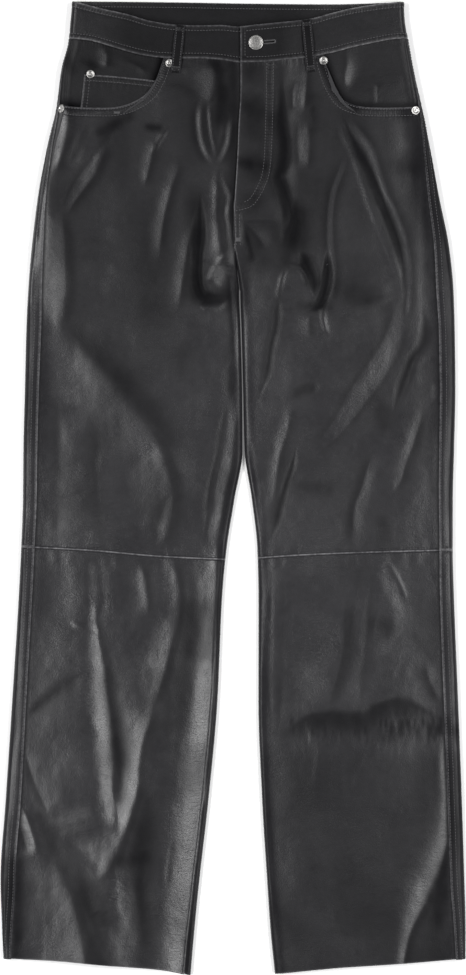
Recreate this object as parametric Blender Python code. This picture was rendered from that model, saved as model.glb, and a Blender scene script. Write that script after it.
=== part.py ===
"""Leather trousers laid flat on their back, front side up.

Five-pocket straight-leg trousers.  The frame: +X is the wearer's left,
+Y points to the waist, +Z up from the surface the trousers lie on, origin
under the middle of the garment.  All sizes below are millimetres and are
turned into metres when the meshes are made.

Every cloth piece is a wall of leather between two skins.  The outer skin
is read from one surface, `skin()`, which wraps a flattened tube round each
leg and one wide tube round the hips.  The inner skin is the outer one moved
in by the thickness of the leather.
"""

import math
from collections import namedtuple

import bmesh
import bpy
import numpy as np
from mathutils import Matrix, Vector

for old in list(bpy.data.objects):
    bpy.data.objects.remove(old, do_unlink=True)

# ------------------------------------------------------------------ sizes
MM = 0.001
LEATHER = 1.2            # thickness of one layer
BAND = 2.7               # waistband: two layers and what is between them
BAND_PROUD = 0.8         # how far the band stands above the panels
GAP = 0.3                # between pieces
CROTCH_Y = 226.0         # where the legs part
GROOVE_Y = 281.0         # where the groove between the legs begins
BACK_SEAM_Y = 508.5      # back waist seam, straight
INSEAM_IN = 8.0          # inseam on the underside, in from the inner edge
FLY_STEP = 3.6           # left front lies this much over the right one
FLY_BOTTOM_Y = 318.0
UNDER_WAIST = 1.8        # the back band is held up by its belt loops
LOOP_W = 11.0
LOOP_T = 1.5
BUTTON_D = 17.0
SHANK_D = 5.0
RIVET_D = 9.6

Section = namedtuple("Section", "y outer inner inset")
Height = namedtuple("Height", "y edge dome roll under")
Fold = namedtuple("Fold", "side x0 y0 x1 y1 x2 y2 high wide")
Point = namedtuple("Point", "x y")

# Silhouette of each leg and hip: outer edge, inner edge (below the crotch)
# and how far the outseam lies in from the outer edge.
RIGHT = [
    Section(555, -183.0, 7.0, 0.7),
    Section(534, -185.0, 7.0, 0.7),
    Section(509, -187.0, 7.0, 0.7),
    Section(477, -195.0, 7.0, 1.0),
    Section(432, -200.8, 7.0, 2.2),
    Section(386, -211.5, 7.0, 5.5),
    Section(329, -222.5, 7.0, 9.5),
    Section(272, -229.5, 7.0, 13.5),
    Section(226, -233.2, 7.0, 15.5),
    Section(181, -235.4, 8.5, 17.0),
    Section(112, -237.1, 10.3, 16.1),
    Section(44, -238.8, 10.8, 16.0),
    Section(-13, -239.3, 1.6, 15.7),
    Section(-70, -241.4, -7.4, 15.3),
    Section(-127, -244.3, -12.5, 15.4),
    Section(-241, -251.5, -17.6, 16.2),
    Section(-355, -259.0, -27.9, 17.4),
    Section(-446, -264.9, -38.2, 17.0),
    Section(-503, -262.8, -43.9, 11.6),
    Section(-555, -259.0, -48.4, 5.7),
]
LEFT = [
    Section(555, 194.4, 8.2, 0.7),
    Section(534, 195.5, 8.2, 0.7),
    Section(509, 199.5, 8.2, 0.7),
    Section(477, 205.2, 8.2, 0.8),
    Section(432, 214.9, 8.2, 2.8),
    Section(386, 224.0, 8.2, 7.3),
    Section(329, 235.4, 8.2, 13.1),
    Section(272, 246.6, 8.2, 17.5),
    Section(226, 251.2, 8.2, 19.8),
    Section(181, 252.6, 9.7, 18.3),
    Section(112, 253.4, 11.5, 17.9),
    Section(44, 251.9, 13.1, 17.1),
    Section(-13, 250.5, 21.5, 16.1),
    Section(-70, 250.4, 27.7, 15.3),
    Section(-127, 251.9, 29.0, 16.1),
    Section(-241, 256.5, 28.9, 16.5),
    Section(-355, 260.8, 33.1, 16.6),
    Section(-446, 263.6, 38.8, 16.1),
    Section(-503, 265.0, 42.7, 13.2),
    Section(-555, 264.0, 47.9, 9.1),
]

# How the lying garment stands up: height of the rolled edge, further rise
# of the middle, width of the edge's roll, and lift of the underside.
HEIGHTS = [
    Height(555, 12.6, 2.2, 6.0, UNDER_WAIST),
    Height(486, 12.6, 2.6, 6.5, UNDER_WAIST),
    Height(432, 12.4, 3.2, 10.0, 0.0),
    Height(330, 10.4, 5.4, 7.0, 0.0),
    Height(226, 8.8, 6.0, 5.0, 0.0),
    Height(0, 8.2, 6.0, 5.0, 0.0),
    Height(-400, 8.0, 5.0, 5.0, 0.0),
    Height(-555, 7.9, 3.2, 5.0, 0.0),
]

# Largest folds: a soft ridge (high > 0) or trough (high < 0) along a bent
# line through three points.
FOLDS = [
    Fold("right", -22, 463, -38, 426, -21, 330, 2.6, 13),
    Fold("right", -190, 194, -119, 89, -67, 25, 2.6, 22),
    Fold("right", -6, 250, -20, 232, -46, 208, -2.2, 12),
    Fold("right", -76, -91, -88, -210, -139, -390, 2.4, 17),
    Fold("right", -31, -95, -40, -344, -63, -486, 2.6, 17),
    Fold("right", -161, -160, -145, -280, -143, -344, 2.0, 15),
    Fold("right", -240, -362, -215, -415, -180, -475, 2.2, 22),
    Fold("left", 189, 205, 154, 121, 84, 21, 3.4, 24),
    Fold("left", 68, 440, 68, 405, 70, 262, -2.0, 13),
    Fold("left", 126, 424, 161, 368, 193, 283, 2.2, 15),
    Fold("left", 54, 278, 88, 245, 86, 202, -2.0, 14),
    Fold("left", 60, -270, 117, -255, 225, -264, -2.2, 15),
    Fold("left", 238, -280, 236, -390, 197, -470, 2.0, 17),
]

# Lines read by their x or y.
FRONT_TOP = [Point(-183, 554.8), Point(-149, 545.7), Point(-121, 539.5), Point(-93, 531.5),
             Point(-64, 527.4), Point(-38, 526.6), Point(-14, 527.0), Point(7, 525.3),
             Point(26, 527.2), Point(58, 530.4), Point(90, 534.6), Point(112, 540.6),
             Point(136, 546.3), Point(160, 550.2), Point(184, 553.2), Point(194.4, 554.0)]
FRONT_SEAM = [Point(-187, 512.0), Point(-165, 509.6), Point(-133, 500.7), Point(-117, 496.0),
              Point(-101, 492.3), Point(-83, 489.8), Point(-58, 488.9), Point(-38, 488.9),
              Point(-14, 487.4), Point(9, 484.3), Point(34, 484.8), Point(58, 487.2),
              Point(80, 489.6), Point(112, 495.1), Point(136, 501.5), Point(160, 506.7),
              Point(184, 511.0), Point(199.5, 512.0)]
BACK_TOP = [Point(-183, 554.8), Point(-71, 553.7), Point(26, 552.1), Point(111, 551.4),
            Point(194.4, 554.0)]
BACK_SEAM = [Point(-187, 512.0), Point(-150, BACK_SEAM_Y), Point(160, BACK_SEAM_Y), Point(199.5, 512.0)]
KNEE = {
    "right": [Point(-241.4, -66.1), Point(-160, -70.6), Point(-82, -77.3), Point(-7.4, -80.9)],
    "left": [Point(27.7, -79.2), Point(76, -75.8), Point(154, -72.6), Point(250.4, -70.0)],
}
HEM = {
    "right": [Point(-260.5, -534.7), Point(-202, -538.0), Point(-138, -543.6), Point(-81, -548.3),
              Point(-48.4, -554.6)],
    "left": [Point(47.3, -553.0), Point(76, -550.0), Point(124, -545.5), Point(186, -541.5),
             Point(263.5, -535.0)],
}
# Front edge of the fly, top to crotch (x is read by y).
FLY = [Point(7.6, CROTCH_Y), Point(1.8, 280), Point(0.9, 317), Point(1.7, 330), Point(4.7, 377),
       Point(6.3, 415), Point(8.3, 451), Point(8.3, 484), Point(7.6, 555)]
CENTRE_BACK = [Point(7.6, CROTCH_Y), Point(5.0, 260), Point(5.0, 555)]
# Outer J row of the fly (x is read by y).
FLY_J = [Point(14.0, 318), Point(24.0, 323), Point(36.5, 344), Point(42.5, 368), Point(45.0, 425),
         Point(46.2, 484)]
# Curved pocket mouths, from the outseam up to the waist seam.
MOUTH = {
    "right": [Point(-196.5, 436.0), Point(-180, 433.9), Point(-162.4, 433.1), Point(-134.4, 433.6),
              Point(-113.4, 439.5), Point(-96.6, 450.9), Point(-87.2, 466.1), Point(-81.5, 481.6),
              Point(-79.2, 489.3)],
    "left": [Point(210.5, 434.5), Point(190, 433.4), Point(165.3, 433.1), Point(142.6, 434.9),
             Point(125.6, 441.7), Point(117.0, 453.1), Point(110.6, 466.1), Point(106.0, 481.6),
             Point(103.2, 493.1)],
}
COIN = [Point(-169.3, 471.4), Point(-85.5, 463.6), Point(-85.5, 419.0), Point(-174.8, 419.0)]
BUTTON_AT = Point(26.0, 506.6)
RIVETS = {
    "rivet_mouth_right": Point(-76.7, 483.6),
    "rivet_coin_pocket": Point(-163.2, 471.4),
    "rivet_outseam_right": Point(-194.8, 431.7),
    "rivet_mouth_left": Point(102.9, 486.6),
    "rivet_outseam_left": Point(207.5, 429.9),
}


# ------------------------------------------------------------ curve reading
def reader(xs, ys):
    """Smooth curve through points (x rising), read at any array of x."""
    order = np.argsort(xs)
    x = np.asarray(xs, float)[order]
    y = np.asarray(ys, float)[order]
    h = np.diff(x)
    d = np.diff(y) / h
    m = np.empty_like(y)
    m[0], m[-1] = d[0], d[-1]
    for i in range(1, len(x) - 1):
        if d[i - 1] * d[i] <= 0:
            m[i] = 0.0
        else:
            m[i] = 2 * d[i - 1] * d[i] / (d[i - 1] + d[i])

    def read(v):
        v = np.clip(np.asarray(v, float), x[0], x[-1])
        k = np.clip(np.searchsorted(x, v) - 1, 0, len(h) - 1)
        t = (v - x[k]) / h[k]
        return ((2 * t ** 3 - 3 * t ** 2 + 1) * y[k] + (t ** 3 - 2 * t ** 2 + t) * h[k] * m[k]
                + (3 * t ** 2 - 2 * t ** 3) * y[k + 1] + (t ** 3 - t ** 2) * h[k] * m[k + 1])
    return read


def by_x(points):
    return reader([p.x for p in points], [p.y for p in points])


def by_y(points):
    return reader([p.y for p in points], [p.x for p in points])


def column(rows, name):
    return reader([r.y for r in rows], [getattr(r, name) for r in rows])


def smooth(v, a, b):
    t = np.clip((np.asarray(v, float) - a) / (b - a), 0.0, 1.0)
    return t * t * (3 - 2 * t)


OUTER = {"right": column(RIGHT, "outer"), "left": column(LEFT, "outer")}
INNER = {"right": column(RIGHT, "inner"), "left": column(LEFT, "inner")}
INSET = {"right": column(RIGHT, "inset"), "left": column(LEFT, "inset")}
EDGE_H = column(HEIGHTS, "edge")
DOME_H = column(HEIGHTS, "dome")
ROLL = column(HEIGHTS, "roll")
UNDER = column(HEIGHTS, "under")
FRONT_TOP_AT = by_x(FRONT_TOP)
FRONT_SEAM_AT = by_x(FRONT_SEAM)
BACK_TOP_AT = by_x(BACK_TOP)
BACK_SEAM_AT = by_x(BACK_SEAM)
KNEE_AT = {s: by_x(p) for s, p in KNEE.items()}
HEM_AT = {s: by_x(p) for s, p in HEM.items()}
FLY_AT = by_y(FLY)
CB_AT = by_y(CENTRE_BACK)
J_AT = by_y(FLY_J)
SIGN = {"right": 1.0, "left": -1.0}      # direction from the outer edge inwards


# ------------------------------------------------------------ the outer skin
def legness(y):
    """0 on the hips, 1 on the legs, rising through the groove."""
    return 1.0 - smooth(y, CROTCH_Y, GROOVE_Y)


def inner_roll(y):
    return 2.0 + 3.0 * legness(y)


def fly_x(y, side, reach):
    """Where the front ends at the middle, at height y."""
    lap = reach * smooth(y, 326.0, 338.0) if side == "right" else 0.0
    gap = 0.15 if side == "right" else -0.15
    seam = FLY_AT(y) - gap * (1.0 - smooth(y, 326.0, 338.0) if side == "right" else 1.0)
    return np.where(np.asarray(y) >= CROTCH_Y, seam + lap, INNER[side](y))


def fold_rise(side, x, y):
    rise = np.zeros(np.broadcast(x, y).shape)
    for f in FOLDS:
        if f.side != side:
            continue
        best = np.full(rise.shape, 1e9)
        along = np.zeros(rise.shape)
        legs = ((f.x0, f.y0, f.x1, f.y1), (f.x1, f.y1, f.x2, f.y2))
        for k, (xa, ya, xb, yb) in enumerate(legs):
            lx, ly = xb - xa, yb - ya
            t = np.clip(((x - xa) * lx + (y - ya) * ly) / (lx * lx + ly * ly), 0, 1)
            dist = np.hypot(x - xa - t * lx, y - ya - t * ly)
            nearer = dist < best
            best = np.where(nearer, dist, best)
            along = np.where(nearer, 0.5 * (k + t), along)
        taper = smooth(along, -0.15, 0.3) * (1 - smooth(along, 0.7, 1.15))
        rise = rise + f.high * taper * np.exp(-(best / f.wide) ** 2)
    return rise


def top_z(side, x, y, reach=0.0):
    """Height of the upper skin over (x, y)."""
    x = np.asarray(x, float)
    y = np.asarray(y, float)
    sign = SIGN[side]
    edge, roll, under = EDGE_H(y), ROLL(y), UNDER(y)
    d_out = np.maximum((x - OUTER[side](y)) * sign, 0.0)
    x_in = fly_x(y, side, reach)
    d_in = np.maximum((x_in - x) * sign, 0.0)
    leg = legness(y)
    rise_in = 1.0 - leg * np.exp(-d_in / 26.0)
    body = edge + DOME_H(y) * (1.0 - np.exp(-d_out / 26.0)) * rise_in
    calm = smooth(d_out, 2.0, 22.0) * (1.0 - leg * (1.0 - smooth(d_in, 2.0, 22.0)))
    calm = calm * smooth(y, -556.0, -500.0) * (1.0 - smooth(y, 470.0, 500.0))
    body = body + fold_rise(side, x, y) * calm
    if side == "left":
        past = (x - FLY_AT(y))
        body = body + FLY_STEP * smooth(y, 288.0, 311.0) * (1.0 - smooth(past, 50.0, 74.0))
    middle = under + 0.5 * (edge - under)
    t = np.minimum(d_out / roll, 1.0)
    z = middle + (body - middle) * np.sqrt(np.maximum(1.0 - (1.0 - t) ** 2, 0.0))
    t = np.minimum(d_in / inner_roll(y), 1.0)
    mid_in = 0.5 * EDGE_H(y)
    end = leg * mid_in + (1.0 - leg) * z
    return end + (z - end) * np.sqrt(np.maximum(1.0 - (1.0 - t) ** 2, 0.0))


def skin(side, s, y, reach=0.0, proud=0.0):
    """Outer skin.  s runs round the tube: 0 at the outer edge, 1 where the
    top begins, 2 where it ends, 3 at the inner edge, 4 where the underside
    begins; below 0 it goes under from the outer edge: -1 to -2 is the
    underside and -3 the inner edge, reached from below."""
    s = np.asarray(s, float)
    y = np.asarray(y, float)
    sign = SIGN[side]
    roll = ROLL(y)
    xo = OUTER[side](y)
    xi = fly_x(y, side, reach)
    ri = inner_roll(y)
    edge, under = EDGE_H(y), UNDER(y)
    middle = under + 0.5 * (edge - under)
    quarter = 0.5 * math.pi
    # upper side
    x1 = xo + sign * roll * (1 - np.cos(quarter * np.clip(s, 0, 1)))
    x2 = (xo + sign * roll) + ((xi - sign * ri) - (xo + sign * roll)) * np.clip(s - 1, 0, 1)
    x3 = xi - sign * ri * (1 - np.sin(quarter * np.clip(s - 2, 0, 1)))
    x_top = np.where(s <= 1, x1, np.where(s <= 2, x2, x3))
    z_top = top_z(side, x_top, y, reach)
    # inner edge and back under
    xin = np.where(y >= CROTCH_Y, CB_AT(y) - sign * 0.15, INNER[side](y))
    rb = 0.4 + (ri - 0.4) * (1.0 - smooth(y, CROTCH_Y, CROTCH_Y + 14))
    a4 = quarter * np.clip(s - 3, 0, 1)
    x4 = xin - sign * rb * (1 - np.cos(a4)) - sign * np.clip(s - 4, 0, 1) * 40.0
    z4 = under + (0.5 * edge - under) * (1 - np.sin(a4))
    # outer edge, lower half, and the underside
    a0 = quarter * np.clip(-s, 0, 1)
    x0 = xo + sign * roll * (1 - np.cos(a0))
    z0 = middle - (middle - under) * np.sin(a0)
    xb = (xo + sign * roll) + ((xin - sign * rb) - (xo + sign * roll)) * np.clip(-s - 1, 0, 1)
    # the last stretch climbs the inner edge from below
    a5 = quarter * (1 - np.clip(-s - 2, 0, 1))
    x5 = xin - sign * rb * (1 - np.cos(a5))
    z5 = under + (0.5 * edge - under) * (1 - np.sin(a5))
    x_low = np.where(s >= -1, x0, np.where(s >= -2, xb, x5))
    z_low = np.where(s >= -2, z0, z5)
    x = np.where(s > 3, x4, np.where(s >= 0, x_top, x_low))
    z = np.where(s > 3, z4, np.where(s >= 0, z_top, z_low))
    out = np.stack([x, np.broadcast_to(y, x.shape), z], axis=-1)
    if np.any(proud):
        out = out + skin_normal(side, s, y, reach) * np.asarray(proud)[..., None]
    return out


def skin_normal(side, s, y, reach=0.0):
    ds, dy = 0.01, 1.0
    s = np.asarray(s, float)
    y = np.asarray(y, float)
    # the skin ends at the middle of the hips, so there it looks back only
    hips = y > CROTCH_Y - 1
    high = np.where(hips & (s <= 3), np.minimum(s + ds, 3.0), s + ds)
    low = np.where(hips & (y > CROTCH_Y + 16), np.maximum(s - ds, -2.0), s - ds)
    along_s = skin(side, high, y, reach) - skin(side, low, y, reach)
    along_y = skin(side, s, y + dy, reach) - skin(side, s, y - dy, reach)
    n = np.cross(along_s, along_y) * SIGN[side]
    return n / np.linalg.norm(n, axis=-1, keepdims=True)


def s_at(side, x, y, reach=0.0):
    """s of the point of the upper skin at x."""
    sign = SIGN[side]
    roll = ROLL(y)
    d = np.maximum((x - OUTER[side](y)) * sign, 0.0)
    wide = (fly_x(y, side, reach) - OUTER[side](y)) * sign - roll - inner_roll(y)
    on_roll = np.arccos(np.clip(1 - d / roll, -1, 1)) / (0.5 * math.pi)
    return np.where(d < roll, on_roll, 1 + (d - roll) / wide)


def outseam_s(side, y, shift):
    """s of the outseam; shift (mm) moves it inwards along the skin."""
    s = s_at(side, OUTER[side](y) + SIGN[side] * INSET[side](y), y)
    step = np.linalg.norm(skin(side, s + 0.01, y) - skin(side, s, y), axis=-1)
    return s + 0.01 * shift / np.maximum(step, 1e-6)


# ---------------------------------------------------------------- mesh tools
def material(name, colour, rough, metal=0.0):
    mat = bpy.data.materials.new(name)
    mat.use_nodes = True
    bsdf = mat.node_tree.nodes["Principled BSDF"]
    bsdf.inputs["Base Color"].default_value = (*colour, 1.0)
    bsdf.inputs["Roughness"].default_value = rough
    bsdf.inputs["Metallic"].default_value = metal
    return mat


def add_object(name, verts, faces, mat, round_piece=False):
    mesh = bpy.data.meshes.new(name)
    mesh.from_pydata([tuple(v) for v in verts], [], faces)
    bm = bmesh.new()
    bm.from_mesh(mesh)
    bmesh.ops.recalc_face_normals(bm, faces=bm.faces[:])
    if bm.calc_volume(signed=True) < 0:
        bmesh.ops.reverse_faces(bm, faces=bm.faces[:])
    bm.to_mesh(mesh)
    bm.free()
    if round_piece:
        mesh.shade_smooth()
        mesh.set_sharp_from_angle(angle=math.radians(40))
    obj = bpy.data.objects.new(name, mesh)
    bpy.context.scene.collection.objects.link(obj)
    mesh.materials.append(mat)
    return obj


def wall(name, outer, inner, mat):
    """Closed wall between two grids of points (rows x columns x 3, mm)."""
    rows, cols = outer.shape[:2]
    verts = np.concatenate([outer.reshape(-1, 3), inner.reshape(-1, 3)]) * MM
    n = rows * cols
    faces = []

    def at(r, c):
        return r * cols + c
    for r in range(rows - 1):
        for c in range(cols - 1):
            q = (at(r, c), at(r, c + 1), at(r + 1, c + 1), at(r + 1, c))
            faces += [(q[0], q[1], q[2]), (q[0], q[2], q[3])]
            faces += [(q[0] + n, q[2] + n, q[1] + n), (q[0] + n, q[3] + n, q[2] + n)]
    rim = ([at(0, c) for c in range(cols)] + [at(r, cols - 1) for r in range(1, rows)]
           + [at(rows - 1, c) for c in range(cols - 2, -1, -1)] + [at(r, 0) for r in range(rows - 2, 0, -1)])
    for i, a in enumerate(rim):
        b = rim[(i + 1) % len(rim)]
        faces += [(a, a + n, b + n), (a, b + n, b)]
    return add_object(name, verts, faces, mat)


def lathe(name, profile, mat, at, up, segments=24):
    """Turned solid; profile is (radius, height) from the axis to the axis."""
    verts, faces, rings = [], [], []
    for r, h in profile:
        if r == 0:
            rings.append([len(verts)])
            verts.append(Vector((0, 0, h)))
        else:
            rings.append(list(range(len(verts), len(verts) + segments)))
            for k in range(segments):
                a = 2 * math.pi * k / segments
                verts.append(Vector((r * math.cos(a), r * math.sin(a), h)))
    for lo, hi in zip(rings, rings[1:]):
        for k in range(segments):
            m = (k + 1) % segments
            if len(lo) == 1:
                faces.append((lo[0], hi[k], hi[m]))
            elif len(hi) == 1:
                faces.append((lo[k], hi[0], lo[m]))
            else:
                faces.append((lo[k], hi[k], hi[m], lo[m]))
    turn = Vector((0, 0, 1)).rotation_difference(Vector(up)).to_matrix()
    place = [(turn @ v + Vector(at)) * MM for v in verts]
    return add_object(name, place, faces, mat, round_piece=True)


LEATHER_MAT = material("leather_black", (0.035, 0.034, 0.037), 0.42)
BAND_MAT = material("leather_black_band", (0.04, 0.039, 0.042), 0.45)
FACING_MAT = material("leather_black_facing", (0.032, 0.031, 0.034), 0.48)
METAL = material("nickel", (0.62, 0.61, 0.6), 0.28, 1.0)


# --------------------------------------------------------------- the panels
def solve_rows(side, s_of_y, top_of_x, bottom_of_x, steps, reach=0.0):
    """Grid of the skin between two seam lines that are read by x."""
    v = np.asarray(steps, float)[:, None]
    y = np.zeros((len(steps), s_of_y(np.zeros(1)).shape[-1]))
    y = y + 0.5 * (top_of_x(np.array(0.0)) + bottom_of_x(np.array(0.0)))
    for _ in range(8):
        s = s_of_y(y)
        x = skin(side, s, y, reach)[..., 0]
        y = top_of_x(x) * (1 - v) + bottom_of_x(x) * v
    s = s_of_y(y)
    return s, y


def front_columns(side, n_top, reach=0.0):
    """Columns of a front panel: evenly over the top, then closer together
    round the inner edge to the inseam on the underside."""
    roll_cols = np.array([0.35, 0.7, 1.0, 1.5, 2.0, 2.0])

    def columns(y):
        y = np.asarray(y, float)
        if y.ndim < 2:
            y = np.broadcast_to(y.reshape(-1, 1), (y.size, n_top + 6))
        s0 = outseam_s(side, y, 0.5 * GAP)
        top = np.concatenate([[0.0, 0.022, 0.055], np.linspace(0.12, 1.0, n_top - 3)])
        # share of the way past the inner edge that this height has reached
        past = 1.0 - smooth(y, CROTCH_Y - 40, CROTCH_Y)
        last = 4.0 + (INSEAM_IN - 5.0) / 40.0 - 0.15 / 40.0
        s_leg = np.empty(y.shape)
        s_leg[:, :n_top] = s0[:, :n_top] + (2.0 - s0[:, :n_top]) * top
        for k, c in enumerate(roll_cols):
            full = 2.0 + c
            if k == 5:
                full = last
            short = 2.0 + (k + 1) / 6.0
            s_leg[:, n_top + k] = short + (full - short) * past[:, n_top + k]
        # on the hips the same columns share the last stretch of the top
        s_body = np.empty(y.shape)
        turn = 2.0 - 0.14
        s_body[:, :n_top] = s0[:, :n_top] + (turn - s0[:, :n_top]) * top
        for k in range(6):
            s_body[:, n_top + k] = turn + (3.0 - turn) * (k + 1) / 6.0
        w = legness(y)
        return s_leg * w + s_body * (1 - w)
    return columns


def back_columns(side, n_low):
    """Columns of a back panel: from the outseam over the outer edge, then
    along the underside to the inseam or the centre back seam."""
    def columns(y):
        y = np.asarray(y, float)
        count = 2 + 4 + 1 + n_low
        if y.ndim < 2:
            y = np.broadcast_to(y.reshape(-1, 1), (y.size, count))
        s0 = outseam_s(side, y, -0.5 * GAP)
        out = np.empty(y.shape)
        out[:, 0] = s0[:, 0]
        start = np.minimum(s0[:, 0], s0[:, 1])
        for k in range(1, 4):
            out[:, k] = start * (1 - k / 4.0) ** 1.0
        out[:, 4] = 0.0
        out[:, 5] = -0.5
        out[:, 6] = -1.0
        # end on the underside, then up the inner edge near the crotch
        xo, sign = OUTER[side](y[:, -1]), SIGN[side]
        wide = (INNER[side](y[:, -1]) - xo) * sign - ROLL(y[:, -1]) - inner_roll(y[:, -1])
        past = 1.0 - smooth(y[:, -1], CROTCH_Y - 40, CROTCH_Y)
        full = 4.0 + (INSEAM_IN - 5.0) / 40.0
        front_end = 3.0 + (full - 3.0) * past
        end_leg = np.where(front_end < 4.0, front_end - 6.0 + 0.05,
                           -2.0 + ((front_end - 4.0) * 40.0 + 0.15) / wide)
        end_hip = -3.0 + smooth(y[:, -1], CROTCH_Y - 1, CROTCH_Y + 16)
        end = np.where(y[:, -1] >= CROTCH_Y, end_hip, end_leg)
        for k in range(n_low):
            f = (k + 1) / n_low
            out[:, 7 + k] = -1.0 + (end + 1.0) * f
        return out
    return columns


def thick(grid_s, grid_y, side, depth, reach=0.0, proud=0.0):
    n = skin_normal(side, grid_s, grid_y, reach)
    p = skin(side, grid_s, grid_y, reach)
    return p + n * proud, p + n * (proud - depth)


N_TOP = {"upper": 11, "lower": 11}
BLEND_Y = 396.0
# rows shared by front and back: from the blend line to the knee, and the shin
THIGH_ROWS = [396, 366, 342, 318, 300, 281, 262, 246, 234, 226, 214, 200, 184, 150, 105, 60, 15, -30, -75]
THIGH_STEPS = np.array([(396 - y) / (396 + 75) for y in THIGH_ROWS])
SHIN_STEPS = np.linspace(0, 1, 13)
BLEND_ROWS = 4

for side in ("right", "left"):
    sign = SIGN[side]
    # ---------------- front, thigh
    n_top = N_TOP["upper"]
    cols = front_columns(side, n_top)
    blend_y = BLEND_Y
    reach = 8.0 if side == "right" else 0.0
    # regular rows from the blend line to the knee
    knee = KNEE_AT[side]
    count = n_top + 6

    def flat_line(x):
        return np.full(np.shape(x), blend_y)

    def above_knee(x):
        return knee(x) + 0.5 * GAP
    lower_steps = THIGH_STEPS
    s_reg, y_reg = solve_rows(side, cols, flat_line, above_knee, lower_steps, reach)
    # composite upper edge: pocket mouth, then the waist seam to the fly
    mouth = MOUTH[side]
    mx = np.array([p.x for p in mouth])
    my = np.array([p.y for p in mouth])
    x_os = OUTER[side](my[0]) + sign * (INSET[side](my[0]) + 0.15)
    mx[0] = x_os
    run = np.concatenate([[0], np.cumsum(np.hypot(np.diff(mx), np.diff(my)))])
    n_mouth = 9
    t = run[-1] * np.concatenate([[0.0, 0.03, 0.075], np.linspace(0.17, 1.0, n_mouth - 3)])
    edge_x = list(np.interp(t, run, mx))
    edge_y = list(np.interp(t, run, my))
    waist_x = np.linspace(edge_x[-1], float(fly_x(484.0, side, reach)), count - n_mouth + 1)[1:]
    edge_x += list(waist_x)
    edge_y += list(FRONT_SEAM_AT(waist_x) - GAP)
    edge_x, edge_y = np.array(edge_x), np.array(edge_y)
    edge_y[n_mouth - 1] = float(FRONT_SEAM_AT(edge_x[n_mouth - 1])) - GAP
    blend_rows = BLEND_ROWS
    s_up, y_up = [], []
    for k in range(blend_rows):
        f = k / blend_rows
        yy = edge_y + (blend_y - edge_y) * f
        reg_here = skin(side, cols(np.tile(yy, (1, 1)))[0], yy, reach)[..., 0]
        reg_edge = skin(side, cols(np.tile(edge_y, (1, 1)))[0], edge_y, reach)[..., 0]
        xx = reg_here + (edge_x - reg_edge) * (1 - f) ** 1.3
        s_up.append(s_at(side, xx, yy, reach))
        y_up.append(yy)
        s_up[-1][0] = cols(np.tile(yy, (1, 1)))[0][0]
    s_all = np.concatenate([np.array(s_up), s_reg])
    y_all = np.concatenate([np.array(y_up), y_reg])
    outer, inner = thick(s_all, y_all, side, LEATHER, reach)
    wall("front_upper_" + side, outer, inner, LEATHER_MAT)

    # ---------------- front, shin
    hem = HEM_AT[side]

    def below_knee(x):
        return knee(x) - 0.5 * GAP

    cols = front_columns(side, N_TOP["lower"])
    s_reg, y_reg = solve_rows(side, cols, below_knee, hem, SHIN_STEPS)
    outer, inner = thick(s_reg, y_reg, side, LEATHER)
    wall("front_lower_" + side, outer, inner, LEATHER_MAT)

    # ---------------- back, thigh and shin
    cols = back_columns(side, 5)

    def under_band(x):
        return BACK_SEAM_AT(x) - GAP

    def mouth_line(x):
        return np.full(np.shape(x), edge_y[0])
    s_a, y_a = solve_rows(side, cols, under_band, mouth_line, np.linspace(0, 1, 4)[:-1])
    s_b, y_b = solve_rows(side, cols, mouth_line, flat_line, np.linspace(0, 1, BLEND_ROWS + 1)[:-1])
    s_c, y_c = solve_rows(side, cols, flat_line, above_knee, THIGH_STEPS)
    s_reg, y_reg = np.concatenate([s_a, s_b, s_c]), np.concatenate([y_a, y_b, y_c])
    outer, inner = thick(s_reg, y_reg, side, LEATHER)
    wall("back_upper_" + side, outer, inner, LEATHER_MAT)

    def back_hem(x):
        return hem(x) - 1.0
    s_reg, y_reg = solve_rows(side, cols, below_knee, back_hem, SHIN_STEPS)
    outer, inner = thick(s_reg, y_reg, side, LEATHER)
    wall("back_lower_" + side, outer, inner, LEATHER_MAT)

    # ---------------- hip facing, seen inside the pocket mouth
    deep = 3.6 if side == "right" else 2.0
    inner_x = mx[-1] + sign * 20.0
    rows_y = np.linspace(0, 1, 8)
    base_y = 410.0
    n_col = 9
    s_f = np.empty((len(rows_y), n_col))
    y_f = np.empty_like(s_f)
    d_f = np.empty_like(s_f)
    for r, v in enumerate(rows_y):
        for c in range(n_col):
            u = (c / (n_col - 1)) ** 1.25
            y_here = base_y + v * 80.0
            for _ in range(6):
                tuck = 0.6 + 5.0 * float(1 - smooth(y_here, 438.0, 447.0))
                s_os = float(outseam_s(side, np.array(y_here), tuck))
                s_in = float(s_at(side, np.array(inner_x), np.array(y_here)))
                s_here = s_os + (s_in - s_os) * u
                x_here = float(skin(side, np.array(s_here), np.array(y_here))[0])
                y_here = base_y + v * (float(FRONT_SEAM_AT(x_here)) - GAP - base_y)
            s_f[r, c], y_f[r, c] = s_here, y_here
            x_edge = float(OUTER[side](y_here)) + sign * float(INSET[side](y_here))
            in_by = (x_here - x_edge) * sign
            # at the outseam the facing is level with the panels above the
            # mouth and goes under the front below it
            sunk = deep * float(smooth(in_by, 0.0, 11.0))
            sunk_low = deep * float(1 - smooth(y_here, 438.0, 447.0))
            d_f[r, c] = max(sunk, sunk_low)
    n = skin_normal(side, s_f, y_f)
    p = skin(side, s_f, y_f)
    outer = p - n * d_f[..., None]
    inner = p - n * (d_f[..., None] + LEATHER)
    wall("hip_facing_" + side, outer, inner, FACING_MAT)

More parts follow.
